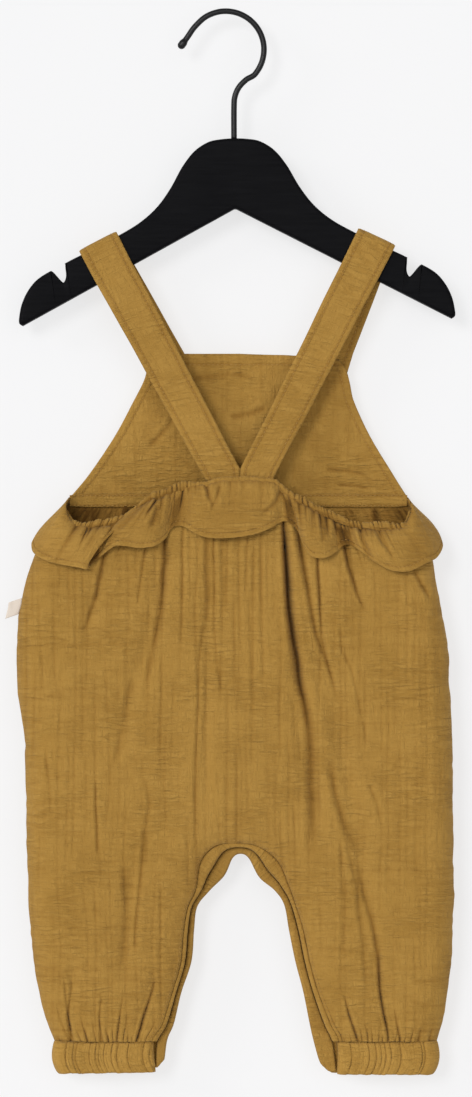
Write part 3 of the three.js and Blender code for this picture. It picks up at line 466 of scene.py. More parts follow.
def creased(creases, x, drop):
    """Narrow creases, steeper on their left, with a raised lip on each side, that fade towards their ends."""
    total = 0
    for k, (path, half, depth) in enumerate(creases):
        wander = 1.0 * (noise(drop / 15, k * 3.7, 91) - 0.5)
        near = np.full(np.broadcast(x, drop).shape, np.inf)
        t, middle = np.zeros(near.shape), np.zeros(near.shape)
        last = len(path) - 1
        for i in range(last):
            away, here = to_segment(x + wander, drop, *path[i], *path[i + 1])
            closer = away < near
            near = np.where(closer, away, near)
            t = np.where(closer, (i + here) / last, t)
            middle = np.where(closer, mix(path[i][0], path[i + 1][0], here), middle)
        fade = np.clip(7 * np.minimum(t + 0.07, 1.0 - t), 0, 1)
        near = near / mix(*half, t) * np.where(x + wander < middle, 1.4, 0.75)
        shape = np.exp(-1.6 * near**2) - 0.3 * np.exp(-1.1 * (near - 1.9) ** 2)
        total = total + mix(*depth, t**0.75) * fade * shape
    return total


def half_depth(x, drop, edge, folds, outside=0.0):
    side = from_side(x, drop)
    rounded = turning(side + outside, SIDE_ROUND + outside)
    inner = turning(from_inseam(x, drop), INSEAM_ROUND)
    full = trousers_at(drop)["depth"] + 0.1 * np.clip(side, 0, 20)
    flat = edge + np.maximum(0, full - edge) * inner
    return SEAM / 2 + rounded * (outside + np.maximum(2, flat - inner * pressed(folds, x, drop)))


def back_y(x, drop, outside=0.0):
    return -half_depth(x, drop, BACK_EDGE, BACK_FOLDS, outside)


def front_y(x, drop):
    return half_depth(x, drop, FRONT_EDGE, FRONT_FOLDS)


def back_top(x):
    return back_waist_at(np.clip(x, -WAIST_HALF, WAIST_HALF))["drop"] + CASING_HEIGHT + SEAM


# Meshes

def on_garment(x, drop, y):
    x, drop, y = together(x, drop, y)
    return np.stack([GARMENT_X + x, y, WAIST_Z - drop], axis=-1)


def put(name, data):
    """An object in the scene for a mesh, a lamp or a camera."""
    thing = bpy.data.objects.new(name, data)
    bpy.context.scene.collection.objects.link(thing)
    return thing


def make_mesh(name, points, faces, slot, nodes=(), material=None, cloth=None, shade=None):
    """A piece from millimetre points. faces is a list of index arrays, each with rows of one length.

    nodes names the solids that it stands for. shade is painted shade: how much darker each point of the cloth
    is drawn, 0 for plain cloth, 1 in the deepest hollow and lighter below 0.
    """
    data = bpy.data.meshes.new(name)
    loops = np.concatenate([f.ravel() for f in faces]).astype(np.int32)
    sizes = np.concatenate([np.full(len(f), f.shape[1]) for f in faces]).astype(np.int32)
    starts = np.concatenate([[0], np.cumsum(sizes)[:-1]]).astype(np.int32)
    data.vertices.add(len(points))
    data.vertices.foreach_set("co", (points * MM).astype(np.float32).ravel())
    data.loops.add(len(loops))
    data.loops.foreach_set("vertex_index", loops)
    data.polygons.add(len(sizes))
    data.polygons.foreach_set("loop_start", starts)
    data.polygons.foreach_set("use_smooth", np.ones(len(sizes), bool))
    data.update(calc_edges=True)
    data.validate()
    if cloth is not None:
        layer = data.attributes.new("cloth", "FLOAT_VECTOR", "POINT")
        layer.data.foreach_set("vector", cloth.astype(np.float32).ravel())
        # The shade attribute carries painted shade, with plain cloth at 0.1 and lighter cloth below it.
        layer = data.attributes.new("shade", "FLOAT", "POINT")
        layer.data.foreach_set("value", np.clip(0.1 + 0.9 * shade, 0, 1).astype(np.float32).ravel())
    data.materials.append(material or MATERIALS[slot])
    piece = put(name, data)
    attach(piece, BODY)
    if nodes:
        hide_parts(*nodes)
    return piece


def unit(vectors):
    return vectors / np.maximum(np.linalg.norm(vectors, axis=-1, keepdims=True), 1e-9)


def vertex_normals(points, quads):
    normals = np.zeros_like(points)
    face = np.cross(points[quads[:, 2]] - points[quads[:, 0]], points[quads[:, 3]] - points[quads[:, 1]])
    for k in range(4):
        np.add.at(normals, quads[:, k], face)
    return unit(normals)


def shell(points, quads, thickness, squared=(), inside=None):
    """A closed thin wall round a sheet whose quads face outwards.

    Gives its points, its faces and the sheet's point that each of its points comes from. inside may hold
    coarser quads for the hidden wall, which leave out every second point along some edges.
    """
    inside = quads if inside is None else inside
    normals = vertex_normals(points, quads)
    for index, axes in squared:
        for axis in axes:
            normals[index, axis] = 0
    normals = unit(normals)
    n = len(points)
    half = np.broadcast_to(np.asarray(thickness, float) / 2, n)[:, None]
    kept = np.zeros(n, bool)
    kept[inside] = True
    copy = n - 1 + np.cumsum(kept)
    both = np.concatenate([points + normals * half, (points - normals * half)[kept]])
    edges = np.concatenate([quads[:, [k, (k + 1) % 4]] for k in range(4)])
    keys = edges[:, 0].astype(np.int64) * n + edges[:, 1]
    back_keys = edges[:, 1].astype(np.int64) * n + edges[:, 0]
    rim = edges[~np.isin(keys, back_keys)]
    a, b = rim[kept[rim[:, 0]] & kept[rim[:, 1]]].T
    faces = [np.concatenate([quads, copy[inside][:, ::-1], np.stack([b, a, copy[a], copy[b]], axis=1)])]
    follow = np.zeros(n, int)
    follow[rim[:, 0]] = rim[:, 1]
    a, between = rim[kept[rim[:, 0]] & ~kept[rim[:, 1]]].T
    if len(a):
        b = follow[between]
        faces.append(np.stack([b, between, a, copy[a], copy[b]], axis=1))
    return both, faces, np.concatenate([np.arange(n), np.nonzero(kept)[0]])


def grid_quads(index, flipped):
    """Quads of a grid of point numbers. They face -y where rows run down and columns to the right."""
    corners = [index[:-1, :-1], index[1:, :-1], index[1:, 1:], index[:-1, 1:]]
    quads = np.stack(corners, axis=-1).reshape(-1, 4)
    return quads[:, ::-1] if flipped else quads


def soft_rim(shape):
    """A thickness factor for each point of a grid, thinner at its edges so that they look rounded."""
    fades = []
    for count in shape:
        near = np.minimum(np.arange(count), np.arange(count)[::-1])
        fades.append(np.where(near == 0, 0.55, np.where(near == 1, 0.92, 1.0)))
    return np.minimum(fades[0][:, None], fades[1][None, :])


def sheet_piece(
    name, node, points, facing, thickness, cloth=None, shade=None, slot="gauze", end_axes=(), **sheet
):
    """A cloth piece in place of a solid, from a grid of points (rows, columns, 3).

    end_axes squares its first and last column. sheet, which says how the cloth is cut and held, is not used.
    """
    shape = points.shape[:2]
    index = np.arange(shape[0] * shape[1]).reshape(shape)
    squared = [(np.concatenate([index[:, 0], index[:, -1]]), end_axes)]
    quads = grid_quads(index, facing == "front")
    wall = (thickness * soft_rim(shape)).ravel()
    both, faces, source = shell(points.reshape(-1, 3), quads, wall, squared)
    if cloth is not None:
        cloth = cloth.reshape(-1, 3)[source]
        shade = shade.ravel()[source]
    piece = make_mesh(name, both, faces, slot, [node], None, cloth, shade)


def cloth_map(across, along, seed):
    across, along = together(across, along)
    return np.stack([across, along, np.full(across.shape, float(seed))], axis=-1)


# Materials

WHITE = (1.0, 1.0, 1.0)


def add_node(tree, kind, inputs=(), **settings):
    """A shader node with its settings. inputs gives sockets a value, or another node's output to link."""
    node = tree.nodes.new("ShaderNode" + kind)
    for name, value in settings.items():
        setattr(node, name, value)
    for name, value in dict(inputs).items():
        if isinstance(value, bpy.types.NodeSocket):
            tree.links.new(value, node.inputs[name])
        else:
            node.inputs[name].default_value = value
    return node


def new_material(name, colour, roughness):
    """A material, its node tree and its shader's sockets."""
    material = bpy.data.materials.new(name)
    material.use_nodes = True
    tree = material.node_tree
    sockets = tree.nodes["Principled BSDF"].inputs
    sockets["Base Color"].default_value = (*colour, 1)
    sockets["Roughness"].default_value = roughness
    return material, tree, sockets


def stretched_noise(tree, source, scale, detail, roughness=0.55):
    """A noise whose features are 1/scale across in each direction of the source vector."""
    place = add_node(tree, "Mapping", {"Vector": source, "Scale": scale}).outputs["Vector"]
    inputs = {"Vector": place, "Scale": 1.0, "Detail": detail, "Roughness": roughness}
    return add_node(tree, "TexNoise", inputs).outputs["Fac"]


def maths(tree, operation, a, b):
    return add_node(tree, "Math", {0: a, 1: b}, operation=operation).outputs[0]


def ramp(tree, source, *stops):
    node = add_node(tree, "ValToRGB", {"Fac": source})
    elements = node.color_ramp.elements
    while len(elements) < len(stops):
        elements.new(0.5)
    for element, (position, colour) in zip(elements, stops):
        element.position = position
        element.color = (*colour, 1)
    return node.outputs["Color"]


def spread(tree, source, low, high, from_low=0.0, from_high=1.0):
    inputs = {"Value": source, "From Min": from_low, "From Max": from_high, "To Min": low, "To Max": high}
    return add_node(tree, "MapRange", inputs).outputs["Result"]


def bump(tree, height, strength, distance, below=None):
    inputs = {"Strength": strength, "Distance": distance, "Height": height}
    if below is not None:
        inputs["Normal"] = below
    return add_node(tree, "Bump", inputs).outputs["Normal"]


def thin_lines(tree, source, scale, detail, sharpness):
    """Thin lines that wander along the middle of a noise, from 0 to 1."""
    centred = maths(tree, "SUBTRACT", stretched_noise(tree, source, scale, detail, 0.5), 0.5)
    off = maths(tree, "MULTIPLY", maths(tree, "ABSOLUTE", centred, 0), sharpness)
    return maths(tree, "MAXIMUM", maths(tree, "SUBTRACT", 1.0, off), 0.0)


def gauze_material():
    """Crinkled double gauze: threads both ways, fine crinkles, a slightly uneven dye, a soft nap and painted
    shade.
    """
    material, tree, shader = new_material("mustard_double_gauze", (0.37, 0.21, 0.049), 0.9)
    cloth = add_node(tree, "Attribute", attribute_name="cloth").outputs["Vector"]
    shade = add_node(tree, "Attribute", attribute_name="shade").outputs["Fac"]
    warp = stretched_noise(tree, cloth, (1.5, 0.16, 1), 2)
    weft = stretched_noise(tree, cloth, (0.16, 1.5, 1), 2)
    threads = maths(tree, "ADD", warp, weft)
    upright = maths(tree, "MULTIPLY", thin_lines(tree, cloth, (0.21, 0.03, 1), 2, 8), 0.55)
    patches = stretched_noise(tree, cloth, (0.03, 0.03, 1), 2)
    patches = ramp(tree, patches, (0.35, (0.4, 0.4, 0.4)), (0.6, WHITE))
    level = maths(tree, "MULTIPLY", thin_lines(tree, cloth, (0.05, 0.27, 1), 3, 7), patches)
    marks = maths(tree, "MAXIMUM", upright, level)
    soft = stretched_noise(tree, cloth, (0.34, 0.2, 1), 3)
    dye = stretched_noise(tree, cloth, (0.02, 0.014, 1), 4, 0.6)

    colour = ramp(tree, dye, (0.3, (0.405, 0.228, 0.0505)), (0.7, (0.452, 0.259, 0.0604)))
    # Painted shade from the shade attribute: plain cloth at 0.1, darker towards the deepest hollows at 1,
    # lighter below 0.1.
    painted_shade_stops = (0.0, WHITE), (0.1, (0.9, 0.895, 0.88)), (0.55, (0.66, 0.605, 0.53)), (1.0, (0.23, 0.18, 0.13))
    tints = (
        ramp(tree, threads, (0.7, (0.88, 0.87, 0.84)), (1.25, WHITE)),
        # Painted shade: the crinkle lines are drawn darker, as shade in their creases.
        ramp(tree, marks, (0.1, WHITE), (1.0, (0.87, 0.84, 0.77))),
        ramp(tree, soft, (0.3, (0.95, 0.945, 0.93)), (0.65, WHITE)),
        ramp(tree, shade, *painted_shade_stops),
    )
    for tint in tints:
        inputs = {"Factor": 1.0, "A": colour, "B": tint}
        colour = add_node(tree, "Mix", inputs, data_type="RGBA", blend_type="MULTIPLY").outputs["Result"]
    tree.links.new(colour, shader["Base Color"])

    tree.links.new(spread(tree, threads, 0.82, 0.98), shader["Roughness"])
    height = maths(tree, "SUBTRACT", soft, maths(tree, "MULTIPLY", marks, 0.8))
    normal = bump(tree, height, 0.8, 1.1 * MM)
    tree.links.new(bump(tree, threads, 0.45, 0.35 * MM, normal), shader["Normal"])
    shader["Specular IOR Level"].default_value = 0.1
    shader["Sheen Weight"].default_value = 0.12
    shader["Sheen Roughness"].default_value = 0.5
    shader["Sheen Tint"].default_value = (0.95, 0.8, 0.5, 1)
    return material


def speckle(scale, detail):
    """A pattern of even fine noise, with scale specks to a metre."""
    return lambda tree, place: stretched_noise(tree, place, (scale, scale, scale), detail)


def fine_rib(tree, place):
    """A pattern of fine upright ribs."""
    inputs = {"Vector": place, "Scale": 420, "Distortion": 0.6}
    return add_node(tree, "TexWave", inputs, bands_direction="X").outputs["Fac"]


def plain_material(name, colour, roughness, specular, pattern, dark, light, strength, distance, rough=None):
    """A plain material that one fine pattern tints from dark to light and raises a little."""
    material, tree, shader = new_material(name, colour, roughness)
    shader["Specular IOR Level"].default_value = specular
    marks = pattern(tree, add_node(tree, "TexCoord").outputs["Object"])
    tree.links.new(ramp(tree, marks, dark, light), shader["Base Color"])
    tree.links.new(bump(tree, marks, strength, distance * MM), shader["Normal"])
    if rough:
        tree.links.new(spread(tree, marks, *rough), shader["Roughness"])
    return material


def lacquer_material():
    """Matte black lacquer over wood: a faint grain, a fine orange peel and uneven polish."""
    material, tree, shader = new_material("matte_black_lacquer", (0.0045, 0.0045, 0.0052), 0.5)
    place = add_node(tree, "TexCoord").outputs["Object"]
    grain = stretched_noise(tree, place, (40, 300, 700), 5, 0.65)
    peel = stretched_noise(tree, place, (900, 900, 900), 2)
    wear = stretched_noise(tree, place, (30, 60, 30), 3)
    tint = ramp(tree, grain, (0.35, (0.0034, 0.0034, 0.0041)), (0.7, (0.0056, 0.0056, 0.0065)))
    tree.links.new(tint, shader["Base Color"])
    tree.links.new(spread(tree, wear, 0.4, 0.56, 0.3, 0.7), shader["Roughness"])
    normal = bump(tree, grain, 0.12, 0.3 * MM)
    tree.links.new(bump(tree, peel, 0.08, 0.1 * MM, normal), shader["Normal"])
    shader["Specular IOR Level"].default_value = 0.03
    return material


MATERIALS = {
    "gauze": gauze_material(),
    "label_cotton": plain_material(
        "cream_cotton_tape", (0.72, 0.64, 0.55), 0.85, 0.2, fine_rib,
        (0.0, (0.62, 0.54, 0.46)), (1.0, (0.76, 0.68, 0.6)), 0.4, 0.2,
    ),
    "hanger_lacquer": lacquer_material(),
    "hook_wire": plain_material(
        "black_coated_wire", (0.005, 0.005, 0.0058), 0.35, 0.25, speckle(700, 3),
        (0.3, (0.0042, 0.0042, 0.005)), (0.75, (0.007, 0.007, 0.008)), 0.1, 0.1, (0.28, 0.46),
    ),
}
THREAD = plain_material(
    "mustard_thread", (0.4, 0.23, 0.06), 0.75, 0.2, speckle(2500, 2),
    (0.35, (0.3, 0.165, 0.04)), (0.7, (0.44, 0.255, 0.07)), 0.4, 0.15,
)
RESIN = plain_material(
    "press_stud_resin", (0.38, 0.24, 0.085), 0.4, 0.5, speckle(1200, 2),
    (0.3, (0.35, 0.22, 0.075)), (0.7, (0.41, 0.26, 0.095)), 0.1, 0.1,
)


# Topstitching: short thread stitches laid along lines on the cloth

# Kinds of stitch, each with its pitch, its length and its thread's radius.
SEAM_STITCH = (2.8, 1.9, 0.22)
BAND_STITCH = (2.8, 1.9, 0.24)
HEM_STITCH = (2.7, 1.8, 0.24)
BIB_STITCH = (3.0, 2.0, 0.22)
STRAP_STITCH = (3.0, 2.1, 0.24)

stitch_points = []
STITCH_SIDES = 6
# Each ring of a stitch from one end to the other: its place, its size and how far it is raised.
STITCH_RINGS = (-1, 0.25, -0.5), (-0.6, 1, 0.45), (0.6, 1, 0.45), (1, 0.25, -0.5)


def stitches(line, outward, pitch, length, radius):
    """Lays stitches along a line of points, each raised from the cloth towards outward."""
    run = np.concatenate([[0], np.cumsum(np.linalg.norm(np.diff(line, axis=0), axis=1))])
    outward = np.broadcast_to(np.asarray(outward, float), line.shape)
    at = (np.arange(int(run[-1] // pitch)) + 0.5) * pitch
    read = lambda place, values: np.stack([np.interp(place, run, axis) for axis in values.T], axis=1)
    middle = read(at, line)
    along = unit(read(at + 0.8, line) - middle)
    up = unit(read(at, outward))
    sideways = np.cross(along, up)
    points = []
    for reach, size, lift in STITCH_RINGS:
        for a in np.arange(STITCH_SIDES) * 2 * math.pi / STITCH_SIDES:
            off = sideways * math.cos(a) + up * (math.sin(a) + lift)
            points.append(middle + along * reach * length / 2 + off * size * radius)
    stitch_points.append(np.stack(points, axis=1))


def stitch_along(x, drop, y, faces, lift, kind):
    """Stitches on the cloth's back (-1), its front (1) or both, lift away from the line of its middle."""
    for face in faces:
        stitches(on_garment(x, drop, y + face * lift), (0, face, 0), *kind)


def make_stitching():
    points = np.concatenate(stitch_points)
    first = np.arange(len(points))[:, None] * points.shape[1]
    here = np.arange(STITCH_SIDES)
    ahead = (here + 1) % STITCH_SIDES
    quads = []
    for ring in range(len(STITCH_RINGS) - 1):
        low = ring * STITCH_SIDES
        high = low + STITCH_SIDES
        corners = np.stack([high + here, high + ahead, low + ahead, low + here], axis=1)
        quads.append((first[:, :, None] + corners).reshape(-1, 4))
    last = points.shape[1] - STITCH_SIDES
    caps = [first + here, first + last + here[::-1]]
    make_mesh("topstitching", points.reshape(-1, 3), [*quads, *caps], "gauze", material=THREAD)


# Trousers

def reach(at, x):
    """How far the trousers reach on the side that x is on."""
    return np.where(x < 0, at["left"], at["right"])


def column_x(outer_x, inner_x, share):
    """Where a column lies between the side fold and the row's inner end."""
    span = np.abs(inner_x - outer_x)
    inset, _ = fold_in(share, TURN_SHARE, SIDE_ROUND, 1, span)
    return mix(outer_x, inner_x, inset / span)


def side_x(side, drop):
    return side * (reach(trousers_at(drop), side) - CLOTH / 2)


TURN_SHARE = 0.16


def panel_place(panel, side, share, level):
    """Place on a trousers panel: share runs from the side seam (0) to the middle or inseam (1), level
    from the waist (0) over the crotch's height (1) to the ankle (2)."""
    share, level = together(share, level)
    trunk, leg = np.clip(level, 0, 1), np.clip(level - 1, 0, 1)
    crotch = panel["inner"](float(CROTCH))
    step = CROTCH + side * leg * (CROTCH - 1)
    inner_x, inner_drop = panel["inner"](step)
    top_at_side = panel["top"](side * WAIST_HALF)
    top_at_middle = panel["top"](crotch[0])
    seam_drop = np.where(level <= 1, mix(top_at_side, SIDE_CROTCH, trunk), mix(SIDE_CROTCH, ANKLE, leg))
    inner_drop = np.where(level <= 1, mix(top_at_middle, crotch[1], trunk), inner_drop)
    outer_x = side_x(side, seam_drop)
    x = column_x(outer_x, inner_x, share)
    across = (x - outer_x) / (inner_x - outer_x)
    curve = (panel["top"](x) - mix(top_at_side, panel["top"](inner_x), across)) * (1 - trunk)
    return x, mix(seam_drop, inner_drop, across) + curve


def panel_relief(panel, side, share, x, drop):
    """How far the cloth stands off its smooth form: gathers, creases and crinkles."""
    seed = panel["seed"]
    from_waist = np.maximum(0, drop - panel["top"](x))
    from_ankle = np.maximum(0, ANKLE - drop)
    gathers = share * panel["gathers"] + side * 40
    waist = pleats(gathers, from_waist, panel["gather_reach"], seed + 10, 0.26, 2.4)
    waist = waist * smoothstep(from_waist, panel["flat_to"], panel["flat_to"] + 3)
    ankle = pleats(share * 20 + side * 70, from_ankle, 17, seed + 20, 0.22, 1.8)
    leg = smoothstep(np.abs(x + 5), 35, 70)
    level = 0.5 + 0.4 * smoothstep(drop, 190, 300) + 0.7 * leg
    upright = 1.2 - 0.2 * smoothstep(drop, 190, 300) - 0.25 * leg
    fine = crinkle(x, drop, seed, upright, level)
    creases = -creased(panel["creases"], x, drop)
    inner = turning(from_inseam(x, drop), 10)
    side_fade = smoothstep(from_side(x, drop), 0, 7)
    free = side_fade * inner
    relief = (waist + ankle + creases) * free + fine * (0.35 + 0.65 * side_fade) * (0.3 + 0.7 * inner)
    # The second value sets painted shade in the creases, pleats and crinkles.
    return relief, (creases + waist + 0.9 * ankle) * free + fine * 1.3


def panel_surface(panel, side, share, level):
    x, drop = panel_place(panel, side, share, level)
    relief, hollow = panel_relief(panel, side, share, x, drop)
    y = panel["y"](x, drop) + panel["outward"] * relief
    return x, drop, np.where(share == 0, panel["outward"] * SEAM / 2, y), hollow


def trousers_panel(name, node, panel):
    """A trousers piece as one closed shell, its two halves joined down the middle to the crotch."""
    columns, trunk_rows, leg_rows = panel["grid"]
    turned = int(columns * TURN_SHARE * 0.9)
    flat = np.linspace(TURN_SHARE, 1, columns - turned + 1)
    shares = np.concatenate([np.linspace(0, TURN_SHARE, turned, endpoint=False), flat])
    levels = np.concatenate([np.linspace(0, 1, trunk_rows + 1), 1 + np.linspace(0, 1, leg_rows + 1)[1:]])
    shape = (len(levels), len(shares))
    indices, points, cloth, shade, quads, inside = [], [], [], [], [], []
    offset = 0
    for side in (-1, 1):
        x, drop, y, hollow = panel_surface(panel, side, shares[None, :], levels[:, None])
        keep = np.ones(shape, bool)
        keep[: trunk_rows + 1, -1] = side < 0
        index = np.cumsum(keep.ravel()).reshape(shape) - 1 + offset
        indices.append(np.where(keep, index, indices[0] if indices else index))
        offset += int(keep.sum())
        points.append(on_garment(x, drop, y)[keep])
        cloth.append(cloth_map(x, drop, panel["seed"])[keep])
        # Painted shade, darkest deep in the creases, pleats and crinkles.
        shade.append(np.clip(-hollow / 3.2, 0, 1)[keep])
        flipped = side != panel["outward"]
        quads.append(grid_quads(indices[-1], flipped))
        inside.append(grid_quads(indices[-1][::2], flipped))
    points, cloth, shade, quads, inside = map(np.concatenate, (points, cloth, shade, quads, inside))
    side_ends = np.concatenate([index[:, 0] for index in indices])
    inner_ends = np.concatenate([index[trunk_rows:, -1] for index in indices])
    both, faces, source = shell(points, quads, CLOTH, [(side_ends, (1,)), (inner_ends, (0, 2))], inside)
    # The inside wall gets painted shade for the waist's own shadow, most of all beside the left side seam,
    # away from the light.
    towards_side = 0.3 + 0.7 * smoothstep(np.abs(points[:, 0] - GARMENT_X), 62, 104)
    towards_side = towards_side * np.where(points[:, 0] < GARMENT_X, 1, 0.6)
    deep = panel["inside_shade"] * towards_side * (1 - smoothstep(WAIST_Z - points[:, 2], 10, 44))
    shade = np.concatenate([shade, np.clip(shade + deep, 0, 1)[source[len(points):]]])
    return make_mesh(name, both, faces, "gauze", [node], None, cloth[source], shade)


def towards_leg(step):
    at = inseam_at(step)
    width = np.hypot(at["seam_x"] - at["fold_x"], at["seam_drop"] - at["fold_drop"])
    return at, width, (at["seam_x"] - at["fold_x"]) / width, (at["seam_drop"] - at["fold_drop"]) / width


def back_inner(step):
    at = inseam_at(step)
    return at["seam_x"], at["seam_drop"]


def front_inner(step):
    at, _, x, drop = towards_leg(step)
    return at["fold_x"] + x * FRONT_SEAM_IN, at["fold_drop"] + drop * FRONT_SEAM_IN


# A panel's grid is its columns on each side, its rows from the waist to the crotch and its rows down a leg.
BACK = dict(
    inner=back_inner, top=back_top, y=back_y, outward=-1,
    seed=11, gathers=26, gather_reach=24, flat_to=-3, creases=BACK_CREASES, inside_shade=0.5,
    grid=(144, 130, 92),
)
FRONT = dict(
    inner=front_inner, top=lambda x: np.zeros_like(np.asarray(x, float)) + SEAM / 2, y=front_y, outward=1,
    seed=31, gathers=30, gather_reach=34, flat_to=3.6, creases=FRONT_CREASES, inside_shade=0.8,
    grid=(104, 116, 84),
)


def make_trousers():
    back = trousers_panel("back_cloth", "back_panel", BACK)
    front = trousers_panel("front_cloth", "front_panel", FRONT)


# Back waist: elastic casing and ruffle

def gathered_zone(x):
    """1 where the elastic draws the waist in, less between the straps and at the side seams."""
    return 0.25 + 0.75 * smoothstep(np.abs(x - 3), 26, 40) * (1 - smoothstep(np.abs(x), 98, 109))


CASING_SEEN = 3.3


def between_straps(x):
    """1 where the straps are sewn in and the ruffle is stitched close under the channel's edge."""
    return 1 - smoothstep(np.abs(x + 4), 26, 36)


def make_casing():
    """The elastic channel: a cloth tube folded over its top, open at its lower seam and puckered."""
    share = np.linspace(0, 1, 521)
    half = WAIST_HALF - CLOTH / 2
    near = np.minimum(share, 1 - share)
    inset, _ = fold_in(near, 0.08, SIDE_ROUND, 0.5, half)
    x = np.where(share < 0.5, -1, 1) * (half - inset)
    zone = gathered_zone(x)
    # The section goes up the outside, round the top and down the inside.
    angle = np.linspace(0, math.pi, 7)
    round_top = 0.84 + 0.16 * np.sin(angle)
    up = np.concatenate([np.linspace(0, 0.84, 8)[:-1], round_top, np.linspace(0.84, 0, 5)[1:]])[:, None]
    out = np.concatenate([np.ones(7), np.cos(angle), -np.ones(4)])[:, None]
    pinch = np.maximum(lines(x / 3.1, 0, 51, 0.24), 0.6 * lines(x / 1.9, 0, 54, 0.26))
    rise = noise(x / 7, 0 * x + 4, 55) - 0.5
    edge = ((0.3 - pinch) * (2.4 + 1.2 * smoothstep(x, 30, 50)) + 2.4 * rise) * zone
    drop = back_waist_at(x)["drop"] + (1 - up) * CASING_HEIGHT - edge * up
    x_here = x * np.maximum(1, reach(trousers_at(drop), x) / WAIST_HALF)
    round_up = np.sin(np.pi * np.clip((up - 0.2) / 0.8, 0, 1))
    bulge = round_up * np.clip(out + 0.3, 0, 1) * (1.5 - 2.0 * pinch * zone) * (1 - 0.5 * between_straps(x))
    y = np.minimum(back_y(x_here, np.maximum(0, drop)) - 0.7, -1.1) - out * 0.75 - bulge
    y = np.where(near < 1e-9, -1.1 - out * 0.45, y)
    # Painted shade in the pits between the puckers and low on the channel.
    shade = np.clip(0.95 * pinch * zone + 0.4 * (1 - up) * zone, 0, 0.9)
    sheet_piece(
        "waist_casing", "back_waist_casing", on_garment(x_here, drop, y)[::-1], "back", 0.9,
        cloth_map(x * 1.6, drop, 51)[::-1], shade[::-1],
        flat=(0.235, 0.012), held="gathered", rests_on=["back_cloth"],
    )


RUFFLE_OFF = 2.2
RUFFLE_HEM = 3.2


def ruffle_top(x):
    """Drop of the ruffle's seam: under the casing, and up at its top where it meets the side seams."""
    x = np.clip(x, -WAIST_HALF, WAIST_HALF)
    seen = CASING_SEEN - 1.6 * between_straps(x)
    return back_waist_at(x)["drop"] + seen - 6.4 * (1 - smoothstep(WAIST_HALF - np.abs(x), 0, 7))


def ruffle_surface(share, down):
    share, down = together(share, down)
    last = len(RUFFLE) - 1
    at = ruffle_at(share * last)
    wrapped = np.clip(np.minimum(share, 1 - share) * last, 0, 1)
    top_x = np.clip(at["top_x"], -WAIST_HALF, WAIST_HALF)
    zone = gathered_zone(top_x)
    from_end = WAIST_HALF - np.abs(top_x)
    top_drop = ruffle_top(top_x)
    proud = mix(0.4, RUFFLE_OFF, smoothstep(top_drop, -2, 5))
    top_side = np.sign(top_x) * (reach(trousers_at(np.maximum(0, top_drop)), top_x) + proud)
    top_side = top_side * (1 - 0.013 * smoothstep(-top_drop, -0.5, 1.5))
    outer_x = mix(top_x, top_side, 1 - turning(from_end, SIDE_ROUND))
    # The columns leave the seam straight down and then fan out to the hem.
    early = 1 - (1 - down) ** (1 / at["ease"])
    x = mix(outer_x, at["hem_x"], np.where(at["ease"] < 1, early, down ** at["ease"]))
    round_out = np.where(top_x > 0, 4.0, 3.0) * np.sin(np.pi * down**1.5) * np.exp(-from_end / 5)
    x = x + np.sign(top_x) * round_out
    drop = mix(top_drop, at["hem_drop"], down)
    length = np.maximum(8, at["hem_drop"] - top_drop)
    away = down * length
    folds = pleats(top_x / 4.2 + 60, away, 13, 61, 0.26, 3.4) * zone
    folds = folds + pleats(top_x / 11 + 60, away, 26, 64, 0.16, 2.2) * (0.2 + 0.8 * zone)
    fine = crinkle(top_x * 1.2, away + 200, 63, 0.25, 0.45)
    from_hem = length * (1 - down)
    stitched = 0.45 * bell(from_hem, RUFFLE_HEM, 0.55)
    padded = (1 - smoothstep(from_hem, RUFFLE_HEM - 0.6, RUFFLE_HEM)) * 0.45
    top_y = mix(1.5, np.minimum(back_y(top_x, np.maximum(0, top_drop), RUFFLE_OFF) - 0.3, -1.8), wrapped)
    bow = 1.8 * at["bulge"] * np.sin(np.pi * down**0.8) * wrapped
    hanging = mix(top_y, at["hem_y"], down**0.75) - bow
    clear = back_y(x, np.maximum(0, drop), RUFFLE_OFF) + 0.6 - 1.2 * np.clip(4 * down, 0, 1)
    seam = 0.9 * np.exp(-away / 1.3)
    swell = 3.2 * (noise(top_x / 15, away / 15, 66) - 0.5) * smoothstep(away, 2, 9)
    deep = 1.5 * creased(RUFFLE_CREASES, x, drop) * wrapped
    # A painted highlight along the hem's edge.
    painted_hem_highlight = 0.14 * bell(from_hem, 0, 1.1)
    relief = folds - deep + swell * (1 - 0.6 * down) + fine * 0.8 - stitched + padded - seam
    y = np.where(wrapped < 1, hanging, np.minimum(hanging, clear)) - relief * wrapped
    # Painted shade in the folds, creases and valleys between the lobes, by the seam and along the hem's
    # stitching.
    valley_shade = np.clip(0.3 - at["bulge"], 0, 2) * 0.4 * smoothstep(down, 0.05, 0.3)
    hollow = 0.06 - 0.08 * swell + deep / 5 - folds / 3 - 0.3 * fine + 0.5 * stitched + 0.35 * seam + valley_shade
    return x, drop, y, np.clip(hollow, 0, 0.95) - painted_hem_highlight


def make_ruffle():
    columns = 641
    share = np.linspace(0, 1, columns)
    down = np.concatenate([np.linspace(0, 0.12, 5)[:-1], np.linspace(0.12, 0.88, 22), np.linspace(0.9, 1, 8)])
    x, drop, y, hollow = ruffle_surface(share, down[:, None])
    sheet_piece(
        "waist_ruffle", "back_ruffle", on_garment(x, drop, y), "back", CLOTH,
        cloth_map(0.58 * np.arange(1, columns + 1), drop + 200, 61), hollow,
        flat=(0.36, 0.031), held="gathered", rests_on=["waist_casing"],
    )
    share = np.linspace(0.012, 0.988, 900)
    at = ruffle_at(share * (len(RUFFLE) - 1))
    length = at["hem_drop"] - ruffle_top(at["top_x"])
    x, drop, y, _ = ruffle_surface(share, 1 - RUFFLE_HEM / np.maximum(8, length))
    stitch_along(x, drop, y, (-1,), CLOTH / 2, HEM_STITCH)


# Bib and the band inside the front waist

BIB_TOP_Y = 7.0
BIB_SIDE_HEM = 5.0
BIB_TOP_HEM = 7.2


